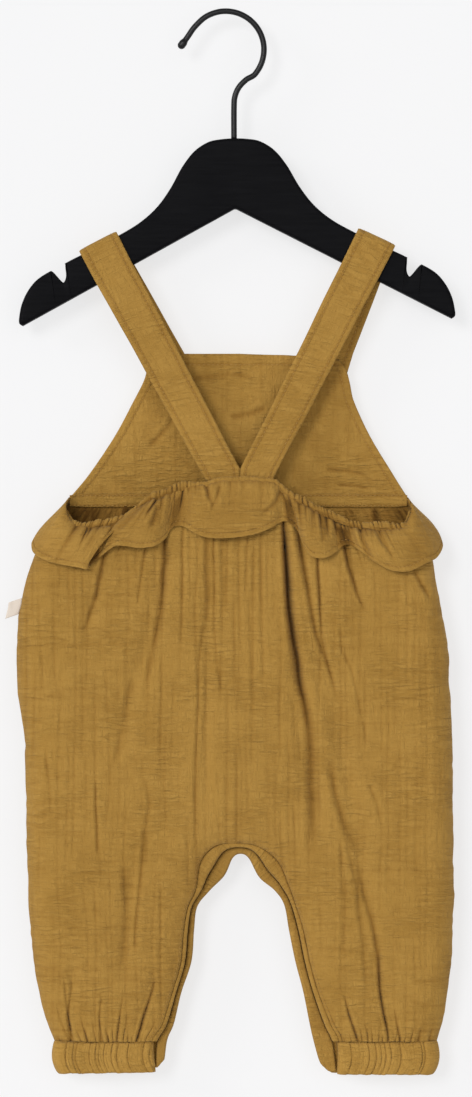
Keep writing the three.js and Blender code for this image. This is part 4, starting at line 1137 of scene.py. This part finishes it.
def bib_surface(share, down):
    share, down = together(share, down)
    top = BIB[0]["drop"]
    drop = mix(top, -SEAM / 2, down)
    at = bib_at(drop)
    spread = mix(share, 0.5 - 0.5 * np.cos(np.pi * share), 0.7 * down)
    x = mix(-at["left"], at["right"], spread)
    sag = top + 4 * smoothstep(x, 28, 66) + 0.8 * np.sin(x / 19)
    drop = np.maximum(mix(sag, drop, np.clip(down * 4, 0, 1)), drop)
    edge = np.maximum(0, np.minimum(x + at["left"], at["right"] - x))
    low = smoothstep(drop, -34, 0)
    free = mix(BIB_TOP_Y, 8.2, smoothstep(drop, -96, -20))
    ripple = 0.7 * np.sin(x / 13 + drop / 31) * turning(edge, 20)
    fine = crinkle(x, drop, 71, 0.55, 0.5) * (0.4 + 0.6 * turning(edge, 12))
    deep = creased(BIB_CREASES, x, drop)
    y = mix(free + ripple, front_y(x, 0 * drop), low) + fine * 0.8 + deep
    return x, drop, np.maximum(SEAM / 2, y), edge, fine - deep


def make_bib():
    x, drop, y, edge, fine = bib_surface(np.linspace(0, 1, 151), np.linspace(0, 1, 71)[:, None])
    from_top = drop - BIB[0]["drop"]
    hem = np.maximum(1 - smoothstep(edge, 4.6, 5.6), 1 - smoothstep(from_top, 7.0, 8.0))
    groove = np.clip(bell(edge, BIB_SIDE_HEM, 0.7) + bell(from_top, BIB_TOP_HEM, 0.7), 0, 1)
    # Painted shade in the crinkles' dips and along the hems' stitched grooves.
    sheet_piece(
        "bib_cloth", "bib", on_garment(x, drop, y), "front", CLOTH + 0.7 * hem - 0.35 * groove,
        cloth_map(x, drop, 71), np.clip(-fine / 1.8, 0, 0.5) + 0.35 * groove,
        flat=(0.2216, 0.0955), held="hung", rests_on=["strap_cloth_left", "strap_cloth_right"], area=0.0152,
    )
    lines = [bib_surface(np.linspace(0.02, 0.98, 260), BIB_TOP_HEM / -BIB[0]["drop"])]
    for side in (-1, 1):
        # Follow the side hem's inner edge.
        share = 0.03
        for _ in range(6):
            line = bib_surface(share if side < 0 else 1 - share, np.linspace(0.02, 0.97, 300))
            share = np.clip(share * (BIB_SIDE_HEM / np.maximum(line[3], 0.2)) ** 0.8, 1e-4, 0.45)
        lines.append(line)
    for line in lines:
        stitch_along(*line[:3], (-1, 1), CLOTH / 2 + 0.05, BIB_STITCH)


BAND_REACH = 109.6


def band_y(x):
    off = mix(0.9, 2.3, smoothstep(BAND_REACH - np.abs(x), 0, 16))
    return np.maximum(0.4, front_y(x, 0 * x) - off)


def make_band():
    """The seam allowance inside the front waist, stitched flat along both its edges."""
    share = np.linspace(0, 1, 221)[None, :]
    down = np.linspace(0, 1, 11)[:, None]
    x = mix(-BAND_REACH, BAND_REACH, share)
    ripple = 0.35 * (noise(x / 4, down * 2, 81) - 0.5)
    lips = bell(down, 0.12, 0.08) + bell(down, 0.88, 0.08)
    ends = np.clip((BAND_REACH - np.abs(x)) / 8, 0, 1)
    drop = mix(-3.4 - 0.8 * ends, 3.6 + 0.8 * ends, down) + 0.4 * (noise(x / 9, 0, 82) - 0.5)
    y = band_y(x) - ripple + 0.3 * lips
    # Painted shade along the two stitched lines.
    sheet_piece(
        "waist_band", "front_waist_band", on_garment(x, drop, y), "front", 1.0,
        cloth_map(x, drop, 81), 0.5 * lips + 0 * x,
        flat=(0.22, 0.01), held="stretched", rests_on=["front_cloth"],
    )
    x = np.linspace(2 - BAND_REACH, BAND_REACH - 2, 300)
    for stitched in (-3.1, 3.4):
        stitch_along(x, stitched, band_y(x), (-1,), 0.52, BAND_STITCH)


# Plackets along the inseam

FACING_IN = 8.0
TUCK_IN = 9.0
FACING_Y = -5.0
TUCK_Y = -1.6


def profile(count, *corners):
    """Points spaced evenly along a placket's section: how far in, at what y and how much painted shade each
    has.
    """
    inward, y, dark = np.array(corners, float).T
    run = np.concatenate([[0], np.cumsum(np.hypot(np.diff(inward), np.diff(y)))])
    at = np.linspace(0, run[-1], count)
    return [np.interp(at, run, values) for values in (inward, y, dark)]


def placket(name, node, steps, section, facing, seed, flat):
    grid = []
    for step in steps:
        at, width, dx, ddrop = towards_leg(step)
        inward, y, dark = section(float(width), float(at["lap"]))
        from_hem = min(step, len(INSEAM) - 1 - step)
        dark = dark * smoothstep(from_hem, 0.6, 1.8)
        corner = 6 * max(0, 1 - from_hem) ** 5 * np.clip(1 - inward / 6, 0, 1) ** 2
        grid.append((at["fold_x"] + dx * inward, at["fold_drop"] + ddrop * inward - corner, y, inward, dark))
    x, drop, y, inward, dark = (np.stack([g[k] for g in grid], axis=1) for k in range(5))
    run = np.concatenate([[0], np.cumsum(np.hypot(np.diff(x[0]), np.diff(drop[0])))])[None, :]
    fine = crinkle(run + 0 * inward, inward * 1.5, seed, 0.4, 0.4) * 0.5
    y = y + fine * (-1 if facing == "back" else 1) * 0.6
    # Painted shade in the gap beside the back's free edge and in the crinkles' dips, less near the hems.
    sheet_piece(
        name, node, on_garment(x, drop, y), facing, 1.0, cloth_map(inward, run + 0 * inward, seed),
        np.clip(dark - fine * 1.2, 0, 1),
        flat=flat, held="folded", rests_on=["back_cloth", "front_cloth"],
    )


def make_plackets():
    leg_steps = np.linspace(1, 19, 240)
    all_steps = np.concatenate([np.linspace(0, 1, 16)[:-1], leg_steps, np.linspace(19, 20, 16)[1:]])

    def back_section(width, lap):
        free = width * (1 - lap)
        return profile(
            16,
            (width - SEAM, -BACK_EDGE - 0.1, 0),
            (free + 0.5, -BACK_EDGE - 0.25, 0),
            (free - 0.35, -BACK_EDGE + 0.6, 0),
            (free - 0.35, FACING_Y - 0.4, 0),
            (free + 0.7, FACING_Y + 0.1, 0),
            (width + FACING_IN, FACING_Y, 0),
        )

    def front_section(width, lap):
        # Beside the back's free edge the strip drops away from it, which leaves a gap whose floor gets
        # painted shade.
        free = width * (1 - lap)
        return profile(
            56,
            (FRONT_SEAM_IN - SEAM, FRONT_EDGE, 0),
            (1.3, FRONT_EDGE - 0.5, 0),
            (0.6, 2.4, 0),
            (0.6, 0.2, 0),
            (1.6, TUCK_Y + 0.2, 0),
            (max(2.3, free - 1.7), TUCK_Y, 0.2),
            (max(2.6, free - 1.45), 2.2, 1),
            (free + 1.6, 2.2, 1),
            (free + 2.8, TUCK_Y, 0.4),
            (width + TUCK_IN, TUCK_Y, 0),
        )

    placket("back_placket_cloth", "back_placket", leg_steps, back_section, "back", 91, (0.345, 0.0165))
    placket("front_placket_cloth", "front_placket", all_steps, front_section, "front", 95, (0.385, 0.0225))
    # A stitched line on the back beside the placket's seam.
    at = inseam_at(np.linspace(1.1, 18.9, 420))
    inset = 1.6
    along_x, along_drop = np.gradient(at["seam_x"]), np.gradient(at["seam_drop"])
    size = np.maximum(np.hypot(along_x, along_drop), 1e-6)
    x = at["seam_x"] + inset * along_drop / size
    drop = at["seam_drop"] - inset * along_x / size
    stitch_along(x, drop, back_y(x, drop), (-1,), CLOTH / 2 + 0.1, SEAM_STITCH)


# Ankle cuffs

CUFF_ROUND = 8.0
CUFF_TURN = 0.14


def cuff_surface(side, around, down):
    """around runs from -1 at the back's inseam end, over 0 at the outer fold, to 1 at the front's end."""
    around, down = together(around, down)
    last = len(INSEAM) - 1
    at = inseam_at(mix(1, 0, down) if side < 0 else mix(last - 1, last, down))
    back = around <= 0
    bulge = 1.6 * np.sin(np.pi * down) - 2.4 * down**4
    outer = reach(TROUSERS[-1], side) + bulge
    inner_x = np.where(back, at["seam_x"] - side * 1.2, at["fold_x"] + side * (FRONT_SEAM_IN + SEAM))
    outer_x = side * (outer - CLOTH / 2)
    span = np.abs(outer_x - inner_x)
    away = np.abs(around)
    inward, turn = fold_in(away, CUFF_TURN, CUFF_ROUND, 1, span)
    edge = np.where(back, BACK_EDGE, FRONT_EDGE)
    narrowing = smoothstep(inward, span - 18, span)
    depth = mix(TROUSERS[-1]["depth"], edge, narrowing) - 0.6 * down**3
    # The back's end curls in towards the front's strip.
    depth = depth - np.where(back, 3.2, 0) * smoothstep(inward, span - 2.4, span)
    key = inward / 3.6 + side * 30 + back * 60
    pinch = 0.45 + 0.55 * np.abs(np.sin(np.pi * (down * 0.9 + 0.05)))
    ribs = lines(key, down * 0.25, 101, 0.15)
    minor = lines(key * 2.2, down * 0.5, 105, 0.2)
    swell = noise(key * 0.9, down * 0.6, 102) - 0.5
    fade = smoothstep(away, 0.03, 0.2) * (1 - smoothstep(away, 0.97, 1.0))
    relief = (1.0 * swell - 1.6 * ribs - 0.4 * minor) * pinch * fade
    y = np.sin(turn) * (depth - 0.9 * bell(down, 0, 0.07)) + relief
    tucked_up = 0.9 * (inward / span) * down if side < 0 else -0.6 * down
    if side < 0:
        tucked_up = tucked_up + np.where(back, 0, 3.2 * smoothstep(inward, span - 15, span)) * down
    tucked_up = tucked_up + np.where(back, 0, 2.2 * smoothstep(inward, span - 3, span)) * down**5
    wavy = 0.5 * (noise(key, 5, 104) - 0.5) * down**6
    drop = mix(ANKLE + SEAM, ANKLE + CUFF_HEIGHT, down) - tucked_up + wavy
    x = outer_x - side * inward
    # The last value is painted shade in the ribs' grooves, and less than none elsewhere, so the cuffs are
    # drawn lighter than the rest of the cloth.
    return x, drop, np.where(back, -y, y), (0.55 * ribs + 0.2 * minor) * fade - 0.1


def make_cuffs():
    to_turn = np.linspace(-1, -CUFF_TURN, 118, endpoint=False)
    around = np.concatenate([to_turn, np.linspace(-CUFF_TURN, CUFF_TURN, 25), -to_turn[::-1]])
    for side, word, facing in ((-1, "left", "front"), (1, "right", "back")):
        x, drop, y, hollow = cuff_surface(side, around, np.linspace(0, 1, 19)[:, None])
        sheet_piece(
            "cuff_cloth_" + word, "cuff_" + word, on_garment(x, drop, y), facing, 1.7,
            cloth_map(0.75 * np.arange(1, len(around) + 1), drop, 101 + side), hollow, end_axes=(0,),
            flat=(0.16, 0.0215), held="gathered", rests_on=["back_cloth", "front_cloth"],
        )
        # The stitched line just under the leg's seam, on the back and on the front.
        for face in (-1, 1):
            x, drop, y, _ = cuff_surface(side, np.linspace(0.08, 0.98, 220) * face, 0.06)
            stitch_along(x, drop, y, (face,), 0.85, SEAM_STITCH)


# Straps

STRAP_THICK = 2.3
STRAP_ROUND = 3.2
HANGER_THICK = 11.0
ARM_OFF = 1.7
STRAP_END_Y = 6.8
BIB_STRAP_Y = 9.3
STRAPS = {
    "left": dict(
        back_end=((-18.6, -8.6), (0.85, -8.6)), fork=((-25.4, -20.4), (0.85, -20.4)),
        arm=((-103.4, -161.2), (-79.2, -173.8)), bib_top=((-63.4, -95), (-35.6, -96.6)),
        bib_end=((-55, -80), (-28.5, -82)),
    ),
    "right": dict(
        back_end=((20.6, -8.6), (1.35, -8.6)), fork=((26.2, -21), (1.35, -20.4)),
        arm=((101.6, -164.8), (77.6, -176)), bib_top=((74.6, -96), (47.6, -96)),
        bib_end=((69, -77), (43, -79)),
    ),
}


def strap_sections(strap):
    """Key sections of a strap as (outer edge, inner edge, y), from the back waist over the arm to the bib."""
    edge = {name: np.array(ends, float) for name, ends in strap.items()}
    arm = edge["arm"]
    direction = arm[1] - arm[0]
    flip = -1 if direction[0] < 0 else 1
    down = np.array([-direction[1], direction[0]]) / np.hypot(*direction) * flip
    face_y = HANGER_THICK / 2 + ARM_OFF
    under = arm + down * STRAP_ROUND
    sections = [(edge["back_end"], -STRAP_END_Y), (edge["fork"], -STRAP_END_Y - 0.3)]
    for t in np.linspace(0, 1, 42)[1:]:
        sections.append((mix(edge["fork"], under, t), -face_y))
    rise = np.linspace(0, math.pi / 2, 9)
    for towards, angles in ((-1, rise[1:]), (1, rise[::-1])):
        for a in angles:
            ends = arm + down * STRAP_ROUND * (1 - math.sin(a))
            sections.append((ends, towards * (face_y - STRAP_ROUND * (1 - math.cos(a)))))
    for t in np.linspace(0, 1, 26)[1:]:
        sections.append((mix(under, edge["bib_top"], t), mix(face_y, BIB_STRAP_Y, t * t)))
    sections.append((edge["bib_end"], BIB_STRAP_Y + 0.5))
    return sections


def strap_surface(strap, t, run, seed):
    """t runs from the outer edge (0) to the inner (1), run from the back waist (0) to the bib (1)."""
    sections = strap_sections(strap)
    middle = np.array([[*ends.mean(axis=0), y] for ends, y in sections])
    at = np.concatenate([[0], np.cumsum(np.linalg.norm(np.diff(middle, axis=0), axis=1))])
    t, run = together(t, run * at[-1])
    ends = np.array([s[0].ravel() for s in sections]).T
    outer_x, outer_drop, inner_x, inner_drop = (np.interp(run, at, values) for values in ends)
    sideways = 0.5 * (noise(run / 26, 0, seed) - 0.5)
    x = mix(outer_x, inner_x, t) + sideways
    return x, mix(outer_drop, inner_drop, t), np.interp(run, at, middle[:, 2]), run


def make_straps():
    for word, strap in STRAPS.items():
        seed = 111 if word == "left" else 121
        t = np.linspace(0, 1, 21) if word == "left" else np.linspace(1, 0, 21)
        x, drop, y, along = strap_surface(strap, t, np.linspace(1, 0, 330)[:, None], seed)
        points = on_garment(x, drop, y)
        across = np.abs(t - 0.5) * 2
        groove = bell((1 - across) * 12.5, 3.4, 0.8)
        fine = crinkle(t * 25, along, seed, 0.3, 0.24)
        dimple_shade = 0.25 * groove * (0.5 + 0.5 * np.cos(2 * np.pi * along / 3))
        # Painted shade along the stitched grooves, in dimples between the stitches and in the crinkles' dips.
        sheet_piece(
            "strap_cloth_" + word, "strap_" + word, points, "front",
            STRAP_THICK * (1 - 0.18 * across**4) - 0.45 * groove + 0.3 * fine,
            cloth_map(t * 25, along, seed), np.clip(0.35 * groove + dimple_shade - 0.25 * fine, 0, 0.8),
            flat=(0.0268, 0.263), held="hung", rests_on=["hanger_body"],
        )
        quads = grid_quads(np.arange(x.size).reshape(x.shape), True)
        normals = vertex_normals(points.reshape(-1, 3), quads).reshape(points.shape)
        for column in (3, 17):
            for face in (-1, 1):
                up = normals[6:-4, column] * face
                stitches(points[6:-4, column] + up * (STRAP_THICK / 2 - 0.15), up, *STRAP_STITCH)


# Side label

LABEL_DROP = 63.4
LABEL_WIDTH = 10.6
LABEL_REACH = 8.6
LABEL_SLANT = 0.35


def make_label():
    """A short tape folded in half, its two ends caught in the side seam."""
    run = np.linspace(-1, 1, 33)
    from_fold = np.abs(run) - 0.04
    apart = 0.26 * np.sign(run) * np.clip(from_fold / 0.06, 0, 1)
    out = LABEL_REACH * np.minimum(1, 1 - from_fold / 0.96)
    level = np.linspace(0, 1, 13)[:, None]
    seam_drop = LABEL_DROP + LABEL_WIDTH * level
    seam_x = -trousers_at(seam_drop)["left"] - SEAM
    curl = 0.45 * np.sin(np.pi * out / LABEL_REACH) * np.cos(3 * level)
    points = on_garment(seam_x - out, seam_drop + LABEL_SLANT * out, curl + apart)
    sheet_piece(
        "label_tab", "side_label", points, "back", 0.42, slot="label_cotton",
        flat=(0.0106, 0.0176), held="folded", rests_on=["back_cloth"],
    )


# Hanger

HANGER_X = 5.4
HANGER_TOP = -81.0
HANGER_TILT = math.radians(1)
ARM_TOP = rows(
    "out down",
    (0, 0), (9, 0.5), (17, 2.2), (26, 8), (34, 18), (42, 32), (51, 44), (62, 53.5), (75, 61.2), (92, 69.9),
    (109.5, 78.4), (111, 80.5), (110.6, 87.5), (112, 91.4), (113.8, 90.6), (119.2, 84.6), (122, 84.8),
    (130, 90), (136, 97.4), (139.8, 105.6), (141.4, 113), (141.6, 117.6), (139.4, 119.4),
)
ARCH_TOP = 45.5


def make_hanger():
    right = [(float(r["out"]), -float(r["down"])) for r in ARM_TOP]
    top_row = [dict(x=-x, z=z) for x, z in right[:0:-1]] + [dict(x=x, z=z) for x, z in right]
    at = smooth(top_row)(np.linspace(0, len(top_row) - 1, 6 * len(top_row)))
    top = np.stack([at["x"], at["z"]], axis=1)
    # Each point of the top edge has one below it on the arch, so that the faces are filled in strips.
    tip, arch = np.array(right[-1]), np.array([0.0, -ARCH_TOP])
    steps = np.maximum(np.diff(top[:, 0]), 0.12)
    across = np.concatenate([[0], np.cumsum(steps)])
    across = (across / across[-1] * 2 - 1)[:, None] * 0.996
    bottom = arch + (np.sign(across) * tip * (1, 0) + tip * (0, 1) - arch) * np.abs(across)
    outline = np.concatenate([top, bottom[::-1]])
    forward = np.roll(outline, -1, axis=0) - np.roll(outline, 1, axis=0)
    inward = np.stack([forward[:, 1], -forward[:, 0]], axis=1)
    inward /= np.maximum(np.linalg.norm(inward, axis=1, keepdims=True), 1e-9)
    # The rounding is tighter round the notches.
    inward *= mix(0.4, 1, smoothstep(np.abs(np.abs(outline[:, 0]) - 113), 3, 14))[:, None]
    half = HANGER_THICK / 2
    radius = 2.4
    angles = np.linspace(0, math.pi / 2, 7)
    from_face = [(radius * (1 - math.sin(a)), radius * (1 - math.cos(a))) for a in angles]
    rings = [(inset, back - half) for inset, back in from_face]
    rings += [(inset, half - back) for inset, back in from_face[::-1]]
    n = len(outline)
    cos, sin = math.cos(HANGER_TILT), math.sin(HANGER_TILT)
    stacked = []
    for inset, y in rings:
        p = outline + inward * inset
        x = HANGER_X + p[:, 0] * cos - p[:, 1] * sin
        z = HANGER_TOP + p[:, 0] * sin + p[:, 1] * cos
        stacked.append(np.stack([x, np.full(n, y), z], axis=1))
    points = np.concatenate(stacked)
    here = np.arange(n)
    ahead = (here + 1) % n
    faces = []
    for r in range(len(rings) - 1):
        faces.append(np.stack([r * n + ahead, (r + 1) * n + ahead, (r + 1) * n + here, r * n + here], axis=1))
    i = np.arange(len(top) - 1)
    cap = np.stack([n - 1 - i, n - 2 - i, i + 1, i], axis=1)
    last = (len(rings) - 1) * n
    faces = [np.concatenate([*faces, cap, cap[:, ::-1] + last])]
    make_mesh("hanger_wood", points, faces, "hanger_lacquer", ["hanger_body"])


WIRE_RADIUS = 1.9
HOOK_RADIUS = 24.9


def make_hook():
    centre_z = WIRE_RADIUS - HOOK_RADIUS
    route = [(-30.3, -22.2), (-28.2, -19.6), (-24.6, -14.6)]
    for degrees in (143, 120, 97, 74, 51, 28, 5, -18, -40):
        a = math.radians(degrees)
        route.append((HOOK_RADIUS * math.cos(a), centre_z + HOOK_RADIUS * math.sin(a)))
    route += [(13.4, -42.6), (8.6, -47.6), (6, -53.6), (HANGER_X, -61), (HANGER_X, HANGER_TOP - 0.2)]
    table = [dict(x=x, z=z) for x, z in route]
    fine = smooth(table)(np.linspace(0, len(table) - 1, 261))
    path = np.stack([fine["x"], np.zeros(261), fine["z"]], axis=1)
    along = np.gradient(path, axis=0)
    along /= np.linalg.norm(along, axis=1, keepdims=True)
    sideways = np.array([0.0, 1.0, 0.0])
    up = np.cross(along, sideways)
    # The tip swells into a rounded bead.
    run = np.concatenate([[0], np.cumsum(np.linalg.norm(np.diff(path, axis=0), axis=1))])
    bead = 2.6
    radius = np.full(len(run), WIRE_RADIUS)
    near = run < 7.5
    radius[near] = mix(bead, WIRE_RADIUS, smoothstep(run[near], 4.2, 7.2))
    cap = run < bead
    radius[cap] = np.maximum(0.25, bead * np.sqrt(np.maximum(0, 1 - (1 - run[cap] / bead) ** 2)))
    sides = 20
    a = np.arange(sides) * 2 * math.pi / sides
    ring = sideways[None, None] * np.cos(a)[None, :, None] + up[:, None] * np.sin(a)[None, :, None]
    points = (path[:, None] + ring * radius[:, None, None]).reshape(-1, 3)
    i = np.arange(len(path) - 1)[:, None] * sides
    s, t = np.arange(sides)[None, :], (np.arange(sides)[None, :] + 1) % sides
    quads = np.stack([i + s, i + t, i + sides + t, i + sides + s], axis=-1).reshape(-1, 4)
    end = (len(path) - 1) * sides
    caps = [np.arange(sides)[None, ::-1], end + np.arange(sides)[None, :]]
    make_mesh("hook_wire", points, [quads, *caps], "hook_wire", ["hook", "hook_tip"])


def finish_studs():
    """The press studs' solids keep their shape and get the resin."""
    for name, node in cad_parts.items():
        if name.startswith("press_stud"):
            node.data.materials.clear()
            node.data.materials.append(RESIN)


# Stage, light and camera

def plane(name, corners, material):
    data = bpy.data.meshes.new(name)
    data.from_pydata(corners, [], [(0, 1, 2, 3)])
    data.materials.append(material)
    put(name, data)


def stage_material(name, glow, colour, one_sided):
    """A pale surface that glows evenly and takes soft shadows. A one-sided one isn't seen from behind."""
    material = bpy.data.materials.new(name)
    material.use_nodes = True
    tree = material.node_tree
    tree.nodes.clear()
    emission = add_node(tree, "Emission", {"Color": (1, 1, 1, 1), "Strength": glow})
    diffuse = add_node(tree, "BsdfDiffuse", {"Color": (*colour, 1)})
    surface = add_node(tree, "AddShader", {0: emission.outputs[0], 1: diffuse.outputs[0]})
    if one_sided:
        behind = add_node(tree, "NewGeometry").outputs["Backfacing"]
        shadow_ray = add_node(tree, "LightPath").outputs["Is Shadow Ray"]
        unseen = maths(tree, "MAXIMUM", behind, shadow_ray)
        clear = add_node(tree, "BsdfTransparent")
        surface = add_node(tree, "MixShader", {"Fac": unseen, 1: surface.outputs[0], 2: clear.outputs[0]})
    add_node(tree, "OutputMaterial", {"Surface": surface.outputs[0]})
    return material


WALL_Y = 0.0195
FLOOR_Z = -0.80


def make_stage():
    wall = stage_material("pale_backdrop", 0.7, (0.2, 0.2, 0.205), True)
    floor = stage_material("pale_floor", 0.3, (0.5, 0.5, 0.5), False)
    w, low, high = 2.2, FLOOR_Z, 1.6
    plane("backdrop", [(-w, WALL_Y, low), (w, WALL_Y, low), (w, WALL_Y, high), (-w, WALL_Y, high)], wall)
    plane("floor", [(-w, -w, low), (w, -w, low), (w, w, low), (-w, w, low)], floor)


def soft_light(name, direction, strength, softness):
    """Even soft light, like a large far soft box, that shines along direction."""
    data = bpy.data.lights.new(name, "SUN")
    data.energy = strength
    data.angle = math.radians(softness)
    lamp = put(name, data)
    lamp.location = -2 * Vector(direction).normalized()
    lamp.rotation_euler = Vector(direction).to_track_quat("-Z", "Y").to_euler()


def make_lights():
    soft_light("key", (0.42, 1, -0.26), 1.4, 20)
    soft_light("rake", (1, 0.55, -0.45), 0.7, 20)
    soft_light("fill", (-0.25, 1, -0.1), 0.9, 50)
    soft_light("behind", (-0.3, -1, -0.4), 1.3, 40)
    world = bpy.data.worlds.new("studio")
    world.use_nodes = True
    tree = world.node_tree
    light = tree.nodes["Background"]
    light.inputs["Color"].default_value = (1, 1, 1, 1)
    light.inputs["Strength"].default_value = 0.24
    seen = add_node(tree, "Background", {"Color": (0.93, 0.93, 0.93, 1)})
    camera_ray = add_node(tree, "LightPath").outputs["Is Camera Ray"]
    both = add_node(tree, "MixShader", {"Fac": camera_ray, 1: light.outputs[0], 2: seen.outputs[0]})
    tree.links.new(both.outputs[0], tree.nodes["World Output"].inputs["Surface"])
    bpy.context.scene.world = world


def make_camera():
    distance = 3.2
    data = bpy.data.cameras.new("camera")
    data.sensor_fit = "VERTICAL"
    data.sensor_height = 24
    data.lens = data.sensor_height * distance / (PHOTO_HEIGHT * MM_PER_PIXEL * MM)
    data.clip_end = 30
    camera = put("camera", data)
    x = (PHOTO_WIDTH / 2 - CROWN_PIXEL[0]) * MM_PER_PIXEL * MM
    z = -(PHOTO_HEIGHT / 2 - CROWN_PIXEL[1]) * MM_PER_PIXEL * MM
    camera.location = (x, -distance, z)
    camera.rotation_euler = (math.pi / 2, 0, 0)
    bpy.context.scene.camera = camera
    bpy.context.scene.view_settings.view_transform = "Standard"


make_camera()
make_trousers()
make_casing()
make_ruffle()
make_bib()
make_band()
make_plackets()
make_cuffs()
make_straps()
make_label()
make_stitching()
make_hanger()
make_hook()
finish_studs()
make_stage()
make_lights()

bpy.context.view_layer.update()
